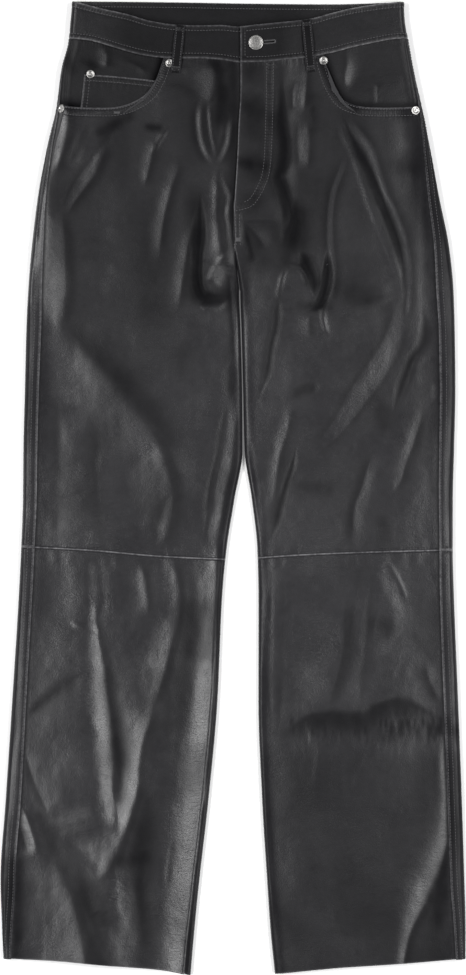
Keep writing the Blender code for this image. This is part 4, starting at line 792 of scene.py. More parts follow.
def skin_x(side, s, y, reach=0.0):
    """Place across of the outer skin.  s runs round the tube: 0 at the outer
    edge, 1 where the top begins, 2 where it ends, 3 at the inner edge, 4 where
    the underside begins; below 0 it goes under from the outer edge: -1 to -2
    is the underside and -3 the inner edge, reached from below."""
    sign = SIGN[side]
    roll = ROLL(y)
    xo = OUTER[side](y)
    xi = fly_x(y, side, reach)
    ri = inner_roll(y)
    quarter = 0.5 * math.pi
    x1 = xo + sign * roll * (1 - np.cos(quarter * np.clip(s, 0, 1)))
    x2 = (xo + sign * roll) + ((xi - sign * ri) - (xo + sign * roll)) * np.clip(s - 1, 0, 1)
    x3 = xi - sign * ri * (1 - np.sin(quarter * np.clip(s - 2, 0, 1)))
    x_top = np.where(s <= 1, x1, np.where(s <= 2, x2, x3))
    xin = np.where(y >= CROTCH_Y, CB_AT(y) - sign * 0.15, INNER[side](y))
    rb = 0.4 + (ri - 0.4) * (1.0 - smooth(y, CROTCH_Y, CROTCH_Y + 14))
    a4 = quarter * np.clip(s - 3, 0, 1)
    x4 = xin - sign * rb * (1 - np.cos(a4)) - sign * np.clip(s - 4, 0, 1) * 40.0
    a0 = quarter * np.clip(-s, 0, 1)
    x0 = xo + sign * roll * (1 - np.cos(a0))
    xb = (xo + sign * roll) + ((xin - sign * rb) - (xo + sign * roll)) * np.clip(-s - 1, 0, 1)
    a5 = quarter * (1 - np.clip(-s - 2, 0, 1))
    x5 = xin - sign * rb * (1 - np.cos(a5))
    x_low = np.where(s >= -1, x0, np.where(s >= -2, xb, x5))
    return np.where(s > 3, x4, np.where(s >= 0, x_top, x_low))


def skin(side, s, y, reach=0.0, folds=True, seams=True):
    s, y = np.broadcast_arrays(np.asarray(s, float), np.asarray(y, float))
    sign = SIGN[side]
    x = skin_x(side, s, y, reach)
    edge, under, roll, ri = EDGE_H(y), UNDER(y), ROLL(y), inner_roll(y)
    middle = under + 0.5 * (edge - under)
    quarter = 0.5 * math.pi
    z_top = top_z(side, x, y, reach, folds, seams)
    a4 = quarter * np.clip(s - 3, 0, 1)
    z4 = under + (0.5 * edge - under) * (1 - np.sin(a4))
    a0 = quarter * np.clip(-s, 0, 1)
    z0 = middle - (middle - under) * np.sin(a0)
    if folds:
        rb = 0.4 + (ri - 0.4) * (1.0 - smooth(y, CROTCH_Y, CROTCH_Y + 14))
        xin = np.where(y >= CROTCH_Y, CB_AT(y) - sign * 0.15, INNER[side](y))
        inward = np.minimum((x - OUTER[side](y)) * sign - roll, (xin - x) * sign - rb)
        z0 = z0 + np.where(s < -1, under_z(side, x, y) * smooth(inward, 0.0, 25.0), 0.0)
    a5 = quarter * (1 - np.clip(-s - 2, 0, 1))
    z5 = under + (0.5 * edge - under) * (1 - np.sin(a5))
    z_low = np.where(s >= -2, z0, z5)
    z = np.where(s > 3, z4, np.where(s >= 0, z_top, z_low))
    return np.stack([x, y, z], axis=-1)


def s_at(side, x, y, reach=0.0):
    sign = SIGN[side]
    roll = ROLL(y)
    ri = inner_roll(y)
    d = np.maximum((x - OUTER[side](y)) * sign, 0.0)
    wide = (fly_x(y, side, reach) - OUTER[side](y)) * sign - roll - ri
    on_roll = np.arccos(np.clip(1 - d / roll, -1, 1)) / (0.5 * math.pi)
    past = d - roll - wide
    over = 2 + np.arcsin(np.clip(past / ri, 0, 1)) / (0.5 * math.pi)
    return np.where(d < roll, on_roll, np.where(past < 0, 1 + (d - roll) / wide, over))


def outseam_s(side, y, shift):
    s = s_at(side, OUTER[side](y) + SIGN[side] * INSET[side](y), y)
    a = skin(side, s + 0.01, y, folds=False, seams=False)
    b = skin(side, s, y, folds=False, seams=False)
    step = np.linalg.norm(a - b, axis=-1)
    return s + 0.01 * shift / np.maximum(step, 1e-6)


# --------------------------------------------------------------- grid tools
def unit(v):
    return v / np.maximum(np.linalg.norm(v, axis=-1, keepdims=True), 1e-12)


def grid_normals(p):
    """Unit normals of a grid; columns x rows, so the caller picks the sign."""
    return unit(np.cross(np.gradient(p, axis=1), np.gradient(p, axis=0)))


def arc_from(p, axis):
    """Distance along the grid lines of `axis` from its first line."""
    step = np.linalg.norm(np.diff(p, axis=axis), axis=-1)
    pad = [(0, 0), (0, 0)]
    pad[axis] = (1, 0)
    return np.cumsum(np.pad(step, pad), axis=axis)


def dense_start(length, step, first=(0.0, 0.25, 0.6, 1.2, 2.0, 2.8, 3.6, 4.6, 5.6, 6.6, 7.6, 8.6, 9.8, 11.2)):
    """Shares of a length: fine steps at the start, then even ones."""
    head = np.array([f for f in first if f < 0.45 * length])
    n = max(2, int(round((length - head[-1]) / step)))
    return np.concatenate([head, np.linspace(head[-1], length, n + 1)[1:]]) / length


def make_mesh(name, verts, faces_by_size, mats, values=None, slots=None, sharp=50):
    verts = np.asarray(verts, float) * MM
    loops = np.concatenate([f.ravel() for f in faces_by_size]).astype(np.int64)
    used = np.unique(loops)
    renumber = np.full(len(verts), -1, np.int64)
    renumber[used] = np.arange(len(used))
    loops = renumber[loops].astype(np.int32)
    verts = verts[used]
    totals = np.concatenate([np.full(len(f), f.shape[1], np.int32) for f in faces_by_size])
    starts = np.concatenate([[0], np.cumsum(totals)[:-1]]).astype(np.int32)
    mesh = bpy.data.meshes.new(name)
    mesh.vertices.add(len(verts))
    mesh.vertices.foreach_set("co", verts.astype(np.float32).ravel())
    mesh.loops.add(len(loops))
    mesh.loops.foreach_set("vertex_index", loops)
    mesh.polygons.add(len(totals))
    mesh.polygons.foreach_set("loop_start", starts)
    if slots is not None:
        mesh.polygons.foreach_set("material_index", np.asarray(slots, np.int32))
    mesh.update(calc_edges=True)
    for key, val in (values or {}).items():
        a = mesh.attributes.new(key, "FLOAT", "POINT")
        a.data.foreach_set("value", np.asarray(val, np.float32).ravel()[used])
    for m in mats:
        mesh.materials.append(m)
    mesh.validate(clean_customdata=False)
    mesh.shade_smooth()
    if sharp:
        mesh.set_sharp_from_angle(angle=math.radians(sharp))
    obj = bpy.data.objects.new(name, mesh)
    bpy.context.scene.collection.objects.link(obj)
    return obj


def shell(name, outer, inner, mats, out=1, stride=3, values=None, hole=None):
    """Closed shell between a fine outer grid and an inner grid of the same
    size that is thinned out.  out=1 if column x row direction points out.
    The inner skin takes the second material."""
    rows, cols = outer.shape[:2]
    if hole is not None:
        stride = 1
    rs = np.unique(np.append(np.arange(0, rows, stride), rows - 1))
    cs = np.unique(np.append(np.arange(0, cols, stride), cols - 1))
    base, ic = rows * cols, len(cs)
    verts = np.concatenate([outer.reshape(-1, 3), inner[np.ix_(rs, cs)].reshape(-1, 3)])
    r, c = [g.ravel() for g in np.meshgrid(np.arange(rows - 1), np.arange(cols - 1), indexing="ij")]
    a = r * cols + c
    outer_q = np.stack([a, a + 1, a + cols + 1, a + cols], axis=1)
    r2, c2 = [g.ravel() for g in np.meshgrid(np.arange(len(rs) - 1), np.arange(ic - 1), indexing="ij")]
    b = base + r2 * ic + c2
    inner_q = np.stack([b, b + ic, b + ic + 1, b + 1], axis=1)
    rims = {}

    def rim(dense, at, coarse):
        for k in range(len(at) - 1):
            face = list(dense[at[k]:at[k + 1] + 1]) + [coarse[k + 1], coarse[k]]
            rims.setdefault(len(face), []).append(face)
    nr = len(rs)
    rim(np.arange(cols)[::-1], [cols - 1 - v for v in cs[::-1]], [base + k for k in range(ic)][::-1])
    rim((rows - 1) * cols + np.arange(cols), list(cs), [base + (nr - 1) * ic + k for k in range(ic)])
    rim(np.arange(rows) * cols, list(rs), [base + k * ic for k in range(nr)])
    rim((np.arange(rows) * cols + cols - 1)[::-1], [rows - 1 - v for v in rs[::-1]],
        [base + k * ic + ic - 1 for k in range(nr)][::-1])
    if hole is not None:
        keep = ~hole.ravel()
        outer_q, inner_q = outer_q[keep], inner_q[keep]
        for i, j in zip(*np.nonzero(hole)):
            def o(a_, b_):
                return (i + a_) * cols + j + b_

            def n(a_, b_):
                return base + (i + a_) * cols + j + b_
            walls = {(-1, 0): ((0, 0), (0, 1)), (1, 0): ((1, 1), (1, 0)),
                     (0, -1): ((1, 0), (0, 0)), (0, 1): ((0, 1), (1, 1))}
            for (di, dj), (u, v) in walls.items():
                if not hole[i + di, j + dj]:
                    rims.setdefault(4, []).append([o(*u), o(*v), n(*v), n(*u)])
    rim_faces = [np.array(v) for v in rims.values()]
    faces = [outer_q, inner_q] + rim_faces
    if out < 0:
        faces = [f[:, ::-1] for f in faces]
    slots = None
    if len(mats) > 1:
        slots = np.concatenate([np.zeros(len(outer_q)), np.ones(len(inner_q))]
                               + [np.full(len(f), 0) for f in rim_faces])
    vals = {}
    for key, v in (values or {}).items():
        v = np.broadcast_to(np.asarray(v, float), (rows, cols))
        vals[key] = np.concatenate([v.ravel(), v[np.ix_(rs, cs)].ravel()])
    return make_mesh(name, verts, faces, mats, vals, slots)


def folded(dist, radius=0.95):
    """How far a folded edge has rounded down at `dist` from it."""
    d = np.clip(dist, 0, radius)
    return radius - np.sqrt(np.maximum(radius ** 2 - (radius - d) ** 2, 0.0))


def rows_at(p, n, dist, at, axis=1):
    """Points and normals at distance `at` along every line of the grid."""
    if axis == 0:
        p, n, dist = p.transpose(1, 0, 2), n.transpose(1, 0, 2), dist.T
    at = np.broadcast_to(np.asarray(at, float), dist.shape[:1])
    pts = np.full((len(at), 3), np.nan)
    nrm = np.full((len(at), 3), np.nan)
    for k in range(len(at)):
        if 0 <= at[k] <= dist[k, -1]:
            for i in range(3):
                pts[k, i] = np.interp(at[k], dist[k], p[k, :, i])
                nrm[k, i] = np.interp(at[k], dist[k], n[k, :, i])
    return pts, nrm


# ------------------------------------------------------------ stitches
STITCH_ROWS = {}


def add_row(group, pts, nrm, pitch=STITCH, thick=THREAD, fill=0.70):
    """Keeps a row of stitches along a line of points."""
    ok = ~np.isnan(pts).any(axis=1)
    pts, nrm = pts[ok], nrm[ok]
    if len(pts) < 2:
        return
    run = np.concatenate([[0], np.cumsum(np.linalg.norm(np.diff(pts, axis=0), axis=1))])
    count = int(run[-1] / pitch)
    if count < 1:
        return
    at = (np.arange(count) + 0.5) * (run[-1] / count)
    half = 0.5 * fill * pitch

    def read(t, what):
        return np.stack([np.interp(t, run, what[:, i]) for i in range(3)], axis=1)
    STITCH_ROWS.setdefault(group, []).append(
        (read(at - half, pts), read(at, pts), read(at + half, pts), unit(read(at, nrm)),
         np.full(count, thick)))


def add_bars(group, centres, across, nrm, length, thick=0.45):
    """Satin bars: one thread across each of the points."""
    c = np.asarray(centres, float)
    a = unit(np.asarray(across, float)) * (0.5 * length)
    n = unit(np.broadcast_to(np.asarray(nrm, float), c.shape))
    STITCH_ROWS.setdefault(group, []).append((c - a, c + n * 0.12, c + a, n, np.full(len(c), thick)))


RINGS = ((-1.0, 0.35, -0.40), (-0.62, 0.95, 0.22), (0.62, 0.95, 0.22), (1.0, 0.35, -0.40))


def build_stitches(group, mat):
    rows = STITCH_ROWS[group]
    a, m, b, n = (np.concatenate([r[i] for r in rows]) for i in range(4))
    thick = np.concatenate([r[4] for r in rows])[:, None]
    along = unit(b - a)
    side = unit(np.cross(n, along))
    up = unit(np.cross(along, side))
    sides = 5
    block = []
    for u, rad, lift in RINGS:
        centre = m + (m - a) * u if u < 0 else m + (b - m) * u
        centre = centre + up * (lift * thick)
        for k in range(sides):
            ang = 2 * math.pi * k / sides + 0.3
            block.append(centre + side * (0.5 * thick * rad * math.cos(ang)) + up * (0.5 * thick * rad * math.sin(ang)))
    verts = np.stack(block, axis=1)
    per = verts.shape[1]
    base = np.arange(len(verts)) * per
    quads, caps = [], []
    for r in range(len(RINGS) - 1):
        for k in range(sides):
            k2 = (k + 1) % sides
            quads.append(np.stack([base + r * sides + k, base + r * sides + k2,
                                   base + (r + 1) * sides + k2, base + (r + 1) * sides + k], axis=1)[:, ::-1])
    caps.append(np.stack([base + k for k in range(sides)], axis=1))
    caps.append(np.stack([base + (len(RINGS) - 1) * sides + k for k in range(sides)], axis=1)[:, ::-1])
    obj = make_mesh(group, verts.reshape(-1, 3), [np.concatenate(quads), np.concatenate(caps)], [mat], sharp=None)
    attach(obj, "root")
    return obj


def offset_line(line, d):
    """The line moved to its left hand by d."""
    t = np.gradient(line, axis=0)
    t = t / np.linalg.norm(t, axis=1, keepdims=True)
    return line + np.stack([-t[:, 1], t[:, 0]], axis=1) * d


def on_top(side, line, lift=0.0, reach=0.0, seams=True):
    """Points and normals of the upper skin along a line in plan."""
    x, y = line[:, 0], line[:, 1]

    def z(a, b):
        return top_z(side, a, b, reach, True, seams)
    h = 0.6
    n = np.stack([-(z(x + h, y) - z(x - h, y)) / (2 * h), -(z(x, y + h) - z(x, y - h)) / (2 * h), np.ones(len(x))], axis=1)
    n = unit(n)
    return np.stack([x, y, z(x, y)], axis=1) + n * lift, n


# --------------------------------------------------------------- materials
def nodes_of(name):
    mat = bpy.data.materials.new(name)
    mat.use_nodes = True
    tree = mat.node_tree
    tree.nodes.clear()
    out = tree.nodes.new("ShaderNodeOutputMaterial")
    bsdf = tree.nodes.new("ShaderNodeBsdfPrincipled")
    tree.links.new(bsdf.outputs[0], out.inputs[0])
    return mat, tree, bsdf


def add_node(tree, kind, **settings):
    node = tree.nodes.new("ShaderNode" + kind)
    for key, value in settings.items():
        if key.startswith("in_"):
            name = key[3:].replace("_", " ")
            node.inputs[name].default_value = value
        else:
            setattr(node, key, value)
    return node


def mapped(tree, coords, scale):
    m = add_node(tree, "Mapping")
    m.inputs["Scale"].default_value = scale
    tree.links.new(coords, m.inputs["Vector"])
    return m.outputs[0]


def noise(tree, vector, scale, detail=3.0, rough=0.5, distortion=0.0):
    n = add_node(tree, "TexNoise")
    n.inputs["Scale"].default_value = scale
    n.inputs["Detail"].default_value = detail
    n.inputs["Roughness"].default_value = rough
    n.inputs["Distortion"].default_value = distortion
    tree.links.new(vector, n.inputs["Vector"])
    return n.outputs["Fac"]


def ranged(tree, value, a, b, c, d):
    m = add_node(tree, "MapRange")
    m.inputs["From Min"].default_value = a
    m.inputs["From Max"].default_value = b
    m.inputs["To Min"].default_value = c
    m.inputs["To Max"].default_value = d
    tree.links.new(value, m.inputs["Value"])
    return m.outputs[0]


def math_node(tree, kind, a, b):
    m = add_node(tree, "Math", operation=kind)
    for k, v in enumerate((a, b)):
        if isinstance(v, (int, float)):
            m.inputs[k].default_value = v
        else:
            tree.links.new(v, m.inputs[k])
    return m.outputs[0]


def bump(tree, height, strength, distance, below=None):
    b = add_node(tree, "Bump")
    b.inputs["Strength"].default_value = strength
    b.inputs["Distance"].default_value = distance
    tree.links.new(height, b.inputs["Height"])
    if below is not None:
        tree.links.new(below, b.inputs["Normal"])
    return b.outputs[0]


def leather(name, dark, light, rough_lo, rough_hi, grain=1.0, spec=0.46):
    """Coated leather: pebble grain, drawn-out fine wrinkles, and a finish that
    is uneven in tone and gloss; paler along folded edges and seams, partly rubbing
    and partly painted highlight; painted shade darkens it and takes the gloss off in
    creases and on the flanks, and painted highlight raises the gloss on lit slopes."""
    mat, tree, bsdf = nodes_of(name)
    co = add_node(tree, "TexCoord").outputs["Object"]
    wear_and_edge_highlight = add_node(tree, "Attribute", attribute_name="wear_and_edge_highlight").outputs["Fac"]
    flex_and_highlight = add_node(tree, "Attribute", attribute_name="flex_and_highlight").outputs["Fac"]
    quilt = add_node(tree, "Attribute", attribute_name="quilt").outputs["Fac"]
    run = add_node(tree, "Attribute", attribute_name="run").outputs["Fac"]
    painted_shade_and_dull = add_node(tree, "Attribute", attribute_name="painted_shade_and_dull").outputs["Fac"]
    matt_painted_shade = add_node(tree, "Attribute", attribute_name="matt_painted_shade").outputs["Fac"]
    cloud = noise(tree, co, 9.0, 4.0, 0.6)
    mottle = noise(tree, co, 160.0, 3.0, 0.6)
    tone = math_node(tree, "ADD", math_node(tree, "MULTIPLY", cloud, 0.6), math_node(tree, "MULTIPLY", mottle, 0.4))
    ramp = add_node(tree, "ValToRGB")
    ramp.color_ramp.elements[0].position = 0.36
    ramp.color_ramp.elements[0].color = (*dark, 1)
    ramp.color_ramp.elements[1].position = 0.64
    ramp.color_ramp.elements[1].color = (*light, 1)
    tree.links.new(tone, ramp.inputs["Fac"])
    # paler along folded edges and seams: partly rubbing, partly painted highlight
    rub_and_highlight = add_node(tree, "Mix", data_type="RGBA", blend_type="MIX")
    rub_and_highlight.inputs["B"].default_value = (0.21, 0.207, 0.215, 1)
    tree.links.new(ramp.outputs["Color"], rub_and_highlight.inputs["A"])
    worn_and_lit_edge = math_node(tree, "MULTIPLY", wear_and_edge_highlight, ranged(tree, noise(tree, co, 260.0, 3.0), 0.35, 0.65, 0.35, 1.0))
    tree.links.new(worn_and_lit_edge, rub_and_highlight.inputs["Factor"])
    # painted shade: the base colour is darkened where the shade attribute is given
    deep = add_node(tree, "Mix", data_type="RGBA", blend_type="MULTIPLY")
    deep.inputs["B"].default_value = (0.17, 0.17, 0.19, 1)
    tree.links.new(painted_shade_and_dull, deep.inputs["Factor"])
    tree.links.new(rub_and_highlight.outputs["Result"], deep.inputs["A"])
    tree.links.new(deep.outputs["Result"], bsdf.inputs["Base Color"])
    gloss = noise(tree, co, 26.0, 4.0, 0.62)
    rough = math_node(tree, "ADD", ranged(tree, gloss, 0.3, 0.7, rough_lo, rough_hi), math_node(tree, "MULTIPLY", painted_shade_and_dull, 0.22))
    tree.links.new(rough, bsdf.inputs["Roughness"])
    # pebble grain
    cells = add_node(tree, "TexVoronoi", feature="SMOOTH_F1")
    cells.inputs["Scale"].default_value = 800.0
    cells.inputs["Smoothness"].default_value = 0.6
    cells.inputs["Randomness"].default_value = 1.0
    tree.links.new(co, cells.inputs["Vector"])
    peb = math_node(tree, "MULTIPLY", cells.outputs["Distance"], -1.0)
    # fine wrinkles run across the legs; stronger where the leather has flexed and on the lit slopes of the folds
    fine = noise(tree, mapped(tree, co, (1.0, 3.0, 1.0)), 170.0, 5.0, 0.66, 0.5)
    patch = ranged(tree, noise(tree, co, 14.0, 2.0), 0.42, 0.62, 0.3, 0.9)
    fine = math_node(tree, "MULTIPLY", fine, math_node(tree, "ADD", patch, math_node(tree, "MULTIPLY", flex_and_highlight, 1.0)))
    soft = noise(tree, mapped(tree, co, (1.0, 1.4, 1.0)), 48.0, 4.0, 0.55)
    # puckers between the stitches
    wave = math_node(tree, "SINE", math_node(tree, "MULTIPLY", run, 2 * math.pi / STITCH), 0.0)
    wave = math_node(tree, "MULTIPLY", wave, math_node(tree, "MULTIPLY", quilt, ranged(tree, noise(tree, co, 60.0), 0.3, 0.7, 0.3, 1.0)))
    n0 = bump(tree, wave, 0.45, 0.00026)
    n1 = bump(tree, soft, 0.30 * grain, 0.0014, n0)
    n2 = bump(tree, fine, 0.45 * grain, 0.0006, n1)
    n3 = bump(tree, peb, 0.40 * grain, 0.00026, n2)
    tree.links.new(n3, bsdf.inputs["Normal"])
    # painted shade: less gloss in creases and on the flanks and inner edges
    shine = math_node(tree, "MULTIPLY", ranged(tree, painted_shade_and_dull, 0.0, 1.0, spec, 0.03), ranged(tree, matt_painted_shade, 0.0, 1.0, 1.0, 0.22))
    # painted highlight: the gloss is raised on the lit slopes of the folds
    shine = math_node(tree, "MULTIPLY", shine, ranged(tree, flex_and_highlight, 0.5, 0.95, 1.0, 1.6))
    tree.links.new(shine, bsdf.inputs["Specular IOR Level"])
    bsdf.inputs["IOR"].default_value = 1.5
    # painted shade: the coat is taken off in creases and on the flanks
    coat = math_node(tree, "MULTIPLY", ranged(tree, painted_shade_and_dull, 0.0, 0.6, 0.06, 0.0), ranged(tree, matt_painted_shade, 0.0, 1.0, 1.0, 0.0))
    tree.links.new(coat, bsdf.inputs["Coat Weight"])
    bsdf.inputs["Coat Roughness"].default_value = 0.24
    return mat


def backing(name):
    """Matt knitted backing on the inner side of the leather."""
    mat, tree, bsdf = nodes_of(name)
    co = add_node(tree, "TexCoord").outputs["Object"]
    waves = add_node(tree, "TexWave", wave_type="BANDS", bands_direction="X")
    waves.inputs["Scale"].default_value = 320.0
    waves.inputs["Distortion"].default_value = 1.4
    tree.links.new(co, waves.inputs["Vector"])
    ramp = add_node(tree, "ValToRGB")
    ramp.color_ramp.elements[0].color = (0.016, 0.016, 0.018, 1)
    ramp.color_ramp.elements[1].color = (0.045, 0.044, 0.047, 1)
    mix = math_node(tree, "ADD", math_node(tree, "MULTIPLY", waves.outputs["Fac"], 0.6),
                    math_node(tree, "MULTIPLY", noise(tree, co, 60.0), 0.4))
    tree.links.new(mix, ramp.inputs["Fac"])
    tree.links.new(ramp.outputs["Color"], bsdf.inputs["Base Color"])
    tree.links.new(ranged(tree, noise(tree, co, 300.0), 0.3, 0.7, 0.8, 0.95), bsdf.inputs["Roughness"])
    tree.links.new(bump(tree, waves.outputs["Fac"], 0.4, 0.0003), bsdf.inputs["Normal"])
    bsdf.inputs["Specular IOR Level"].default_value = 0.25
    bsdf.inputs["Sheen Weight"].default_value = 0.25
    bsdf.inputs["Sheen Roughness"].default_value = 0.5
    return mat


def thread(name):
    mat, tree, bsdf = nodes_of(name)
    co = add_node(tree, "TexCoord").outputs["Object"]
    ply = add_node(tree, "TexWave", wave_type="BANDS", bands_direction="DIAGONAL")
    ply.inputs["Scale"].default_value = 1500.0
    tree.links.new(co, ply.inputs["Vector"])
    ramp = add_node(tree, "ValToRGB")
    ramp.color_ramp.elements[0].color = (0.055, 0.054, 0.057, 1)
    ramp.color_ramp.elements[1].color = (0.10, 0.098, 0.103, 1)
    tree.links.new(math_node(tree, "MULTIPLY", math_node(tree, "ADD", ply.outputs["Fac"], noise(tree, co, 35.0)), 0.5),
                   ramp.inputs["Fac"])
    tree.links.new(ramp.outputs["Color"], bsdf.inputs["Base Color"])
    tree.links.new(ranged(tree, noise(tree, co, 500.0), 0.3, 0.7, 0.5, 0.7), bsdf.inputs["Roughness"])
    tree.links.new(bump(tree, ply.outputs["Fac"], 0.5, 0.0001), bsdf.inputs["Normal"])
    bsdf.inputs["Sheen Weight"].default_value = 0.2
    return mat


def nickel(name):
    mat, tree, bsdf = nodes_of(name)
    co = add_node(tree, "TexCoord").outputs["Object"]
    ramp = add_node(tree, "ValToRGB")
    ramp.color_ramp.elements[0].position = 0.3
    ramp.color_ramp.elements[0].color = (0.27, 0.264, 0.256, 1)
    ramp.color_ramp.elements[1].position = 0.65
    ramp.color_ramp.elements[1].color = (0.47, 0.461, 0.448, 1)
    tree.links.new(noise(tree, co, 700.0, 4.0, 0.6), ramp.inputs["Fac"])
    tree.links.new(ramp.outputs["Color"], bsdf.inputs["Base Color"])
    tree.links.new(ranged(tree, noise(tree, co, 1400.0, 3.0), 0.3, 0.7, 0.24, 0.42), bsdf.inputs["Roughness"])
    tree.links.new(bump(tree, noise(tree, co, 2600.0, 3.0), 0.25, 0.00006), bsdf.inputs["Normal"])
    bsdf.inputs["Metallic"].default_value = 1.0
    return mat


LEATHER_MAT = leather("leather_black", (0.0112, 0.0108, 0.0124), (0.0182, 0.0176, 0.0200), 0.27, 0.37)
BAND_MAT = leather("leather_black_trim", (0.0070, 0.0068, 0.0078), (0.0125, 0.0121, 0.0138), 0.34, 0.44, 1.1, 0.22)
FACING_MAT = leather("leather_black_facing", (0.0072, 0.0070, 0.0080), (0.0125, 0.0121, 0.0138), 0.33, 0.43, 1.0, 0.27)
BACKING = backing("knit_backing")
THREAD_MAT = thread("thread_black")
METAL = nickel("nickel_satin")

# The cloth pieces; cloth() prints their flat sizes: width, length (m) and area (m2)
PIECES = []


def quilted(spots):
    """Puckers between the stitches: how strong they are at each point, and how
    far along its nearest row of stitches the point is (mm)."""
    best = np.zeros(np.broadcast(*spots[0]).shape)
    run = np.zeros(best.shape)
    for strong, along in spots:
        more = strong > best
        run = np.where(more, along, run)
        best = np.where(more, strong, best)
    return {"quilt": best, "run": run}


def cloth(obj, node, area):
    """Registers a cloth piece: rides, replaces its plain solid, flat cut."""
    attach(obj, "root")
    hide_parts(node)
    print("FLAT", node, "%.4f %.4f %.5f" % (area[0], area[1], area[2]))
    PIECES.append(obj)
    return obj


def flat_of(p):
    """Width, length and area of a grid laid out flat, in metres."""
    width = arc_from(p, 1)[:, -1].max() * MM
    length = arc_from(p, 0)[-1].max() * MM
    d1, d2 = p[1:, 1:] - p[:-1, :-1], p[1:, :-1] - p[:-1, 1:]
    area = 0.5 * np.linalg.norm(np.cross(d1, d2), axis=-1).sum() * MM * MM
    return width, length, min(area, 0.999 * width * length)


# --------------------------------------------------------------- the panels
def solve_rows(side, s_of_y, top_of_x, bottom_of_x, steps, count, reach=0.0):
    v = np.asarray(steps, float)[:, None]
    y = np.zeros((len(steps), count)) + 0.5 * (top_of_x(np.array(0.0)) + bottom_of_x(np.array(0.0)))
    for _ in range(8):
        x = skin_x(side, s_of_y(y), y, reach)
        y = top_of_x(x) * (1 - v) + bottom_of_x(x) * v
    return s_of_y(y), y


TOPS = dense_start(212.0, 1.5)
LOWS = 26


def front_columns(side):
    u = np.arange(1, LOWS + 1) / LOWS
    n_top = len(TOPS)
    full = np.interp(u, [0, 0.36, 0.7, 1.0], [2.0, 3.0, 4.0, 4.0 + (INSEAM_IN - 5.0) / 40.0 - 0.05 / 40.0])
    short = 2.0 + u
    turn = 2.0 - 0.16
    hips = np.interp(u, [0, 0.74, 1.0], [turn, 2.0, 3.0])

    def columns(y):
        s0 = outseam_s(side, y, 0.5 * SEAM_GAP)
        past = 1.0 - smooth(y, CROTCH_Y - 40, CROTCH_Y)
        s_leg = np.empty(y.shape)
        s_body = np.empty(y.shape)
        a = s0[:, :n_top]
        s_leg[:, :n_top] = a + (2.0 - a) * TOPS
        s_leg[:, n_top:] = short + (full - short) * past[:, n_top:]
        s_body[:, :n_top] = a + (turn - a) * TOPS
        s_body[:, n_top:] = hips
        w = legness(y)
        return s_leg * w + s_body * (1 - w)
    return columns, n_top + LOWS


STRIP = np.concatenate([[0.0, 0.012, 0.03, 0.06, 0.10, 0.14], np.linspace(0.18, 1.0, 21)])
BELOW = 62


def back_columns(side):
    n_s = len(STRIP)

    def columns(y):
        s0 = outseam_s(side, y, -0.5 * SEAM_GAP)
        out = np.empty(y.shape)
        out[:, :n_s] = s0[:, :n_s] * (1 - STRIP)
        turn = -np.linspace(0, 1, 8)[1:]
        out[:, n_s:n_s + 7] = turn
        xo, sign = OUTER[side](y[:, -1]), SIGN[side]
        wide = (INNER[side](y[:, -1]) - xo) * sign - ROLL(y[:, -1]) - inner_roll(y[:, -1])
        past = 1.0 - smooth(y[:, -1], CROTCH_Y - 40, CROTCH_Y)
        full = 4.0 + (INSEAM_IN - 5.0) / 40.0
        front_end = 3.0 + (full - 3.0) * past
        end_leg = np.where(front_end < 4.0, front_end - 6.0 + 0.05,
                           -2.0 + ((front_end - 4.0) * 40.0 + 0.1) / wide)
        end_hip = -3.0 + smooth(y[:, -1], CROTCH_Y - 1, CROTCH_Y + 16)
        end = np.where(y[:, -1] >= CROTCH_Y, end_hip, end_leg)[:, None]
        f = (np.arange(BELOW) + 1) / BELOW
        # the last fifth of the columns share what lies beyond s = -2
        beyond = np.minimum(end + 2.0, 0.0)
        main = np.maximum(end, -2.0)
        out[:, n_s + 7:] = -1.0 + (main + 1.0) * np.clip(f / 0.8, 0, 1) + beyond * np.clip((f - 0.8) / 0.2, 0, 1)
        straight = -1.0 + (end + 1.0) * f
        past2 = (end < -2.0)
        out[:, n_s + 7:] = np.where(past2, out[:, n_s + 7:], straight)
        return out
    return columns, n_s + 7 + BELOW


def in_mouth_shade(side, x, y):
    """1 along the pocket mouth on the facing, where the front's edge shades it."""
    d, _ = near_line(x, y, MOUTH_LINE[side], 30.0)
    return np.where(np.abs(d) < 900, np.exp(-(np.maximum(d * SIGN[side], 0.0) / 7.0) ** 2), 0.0)


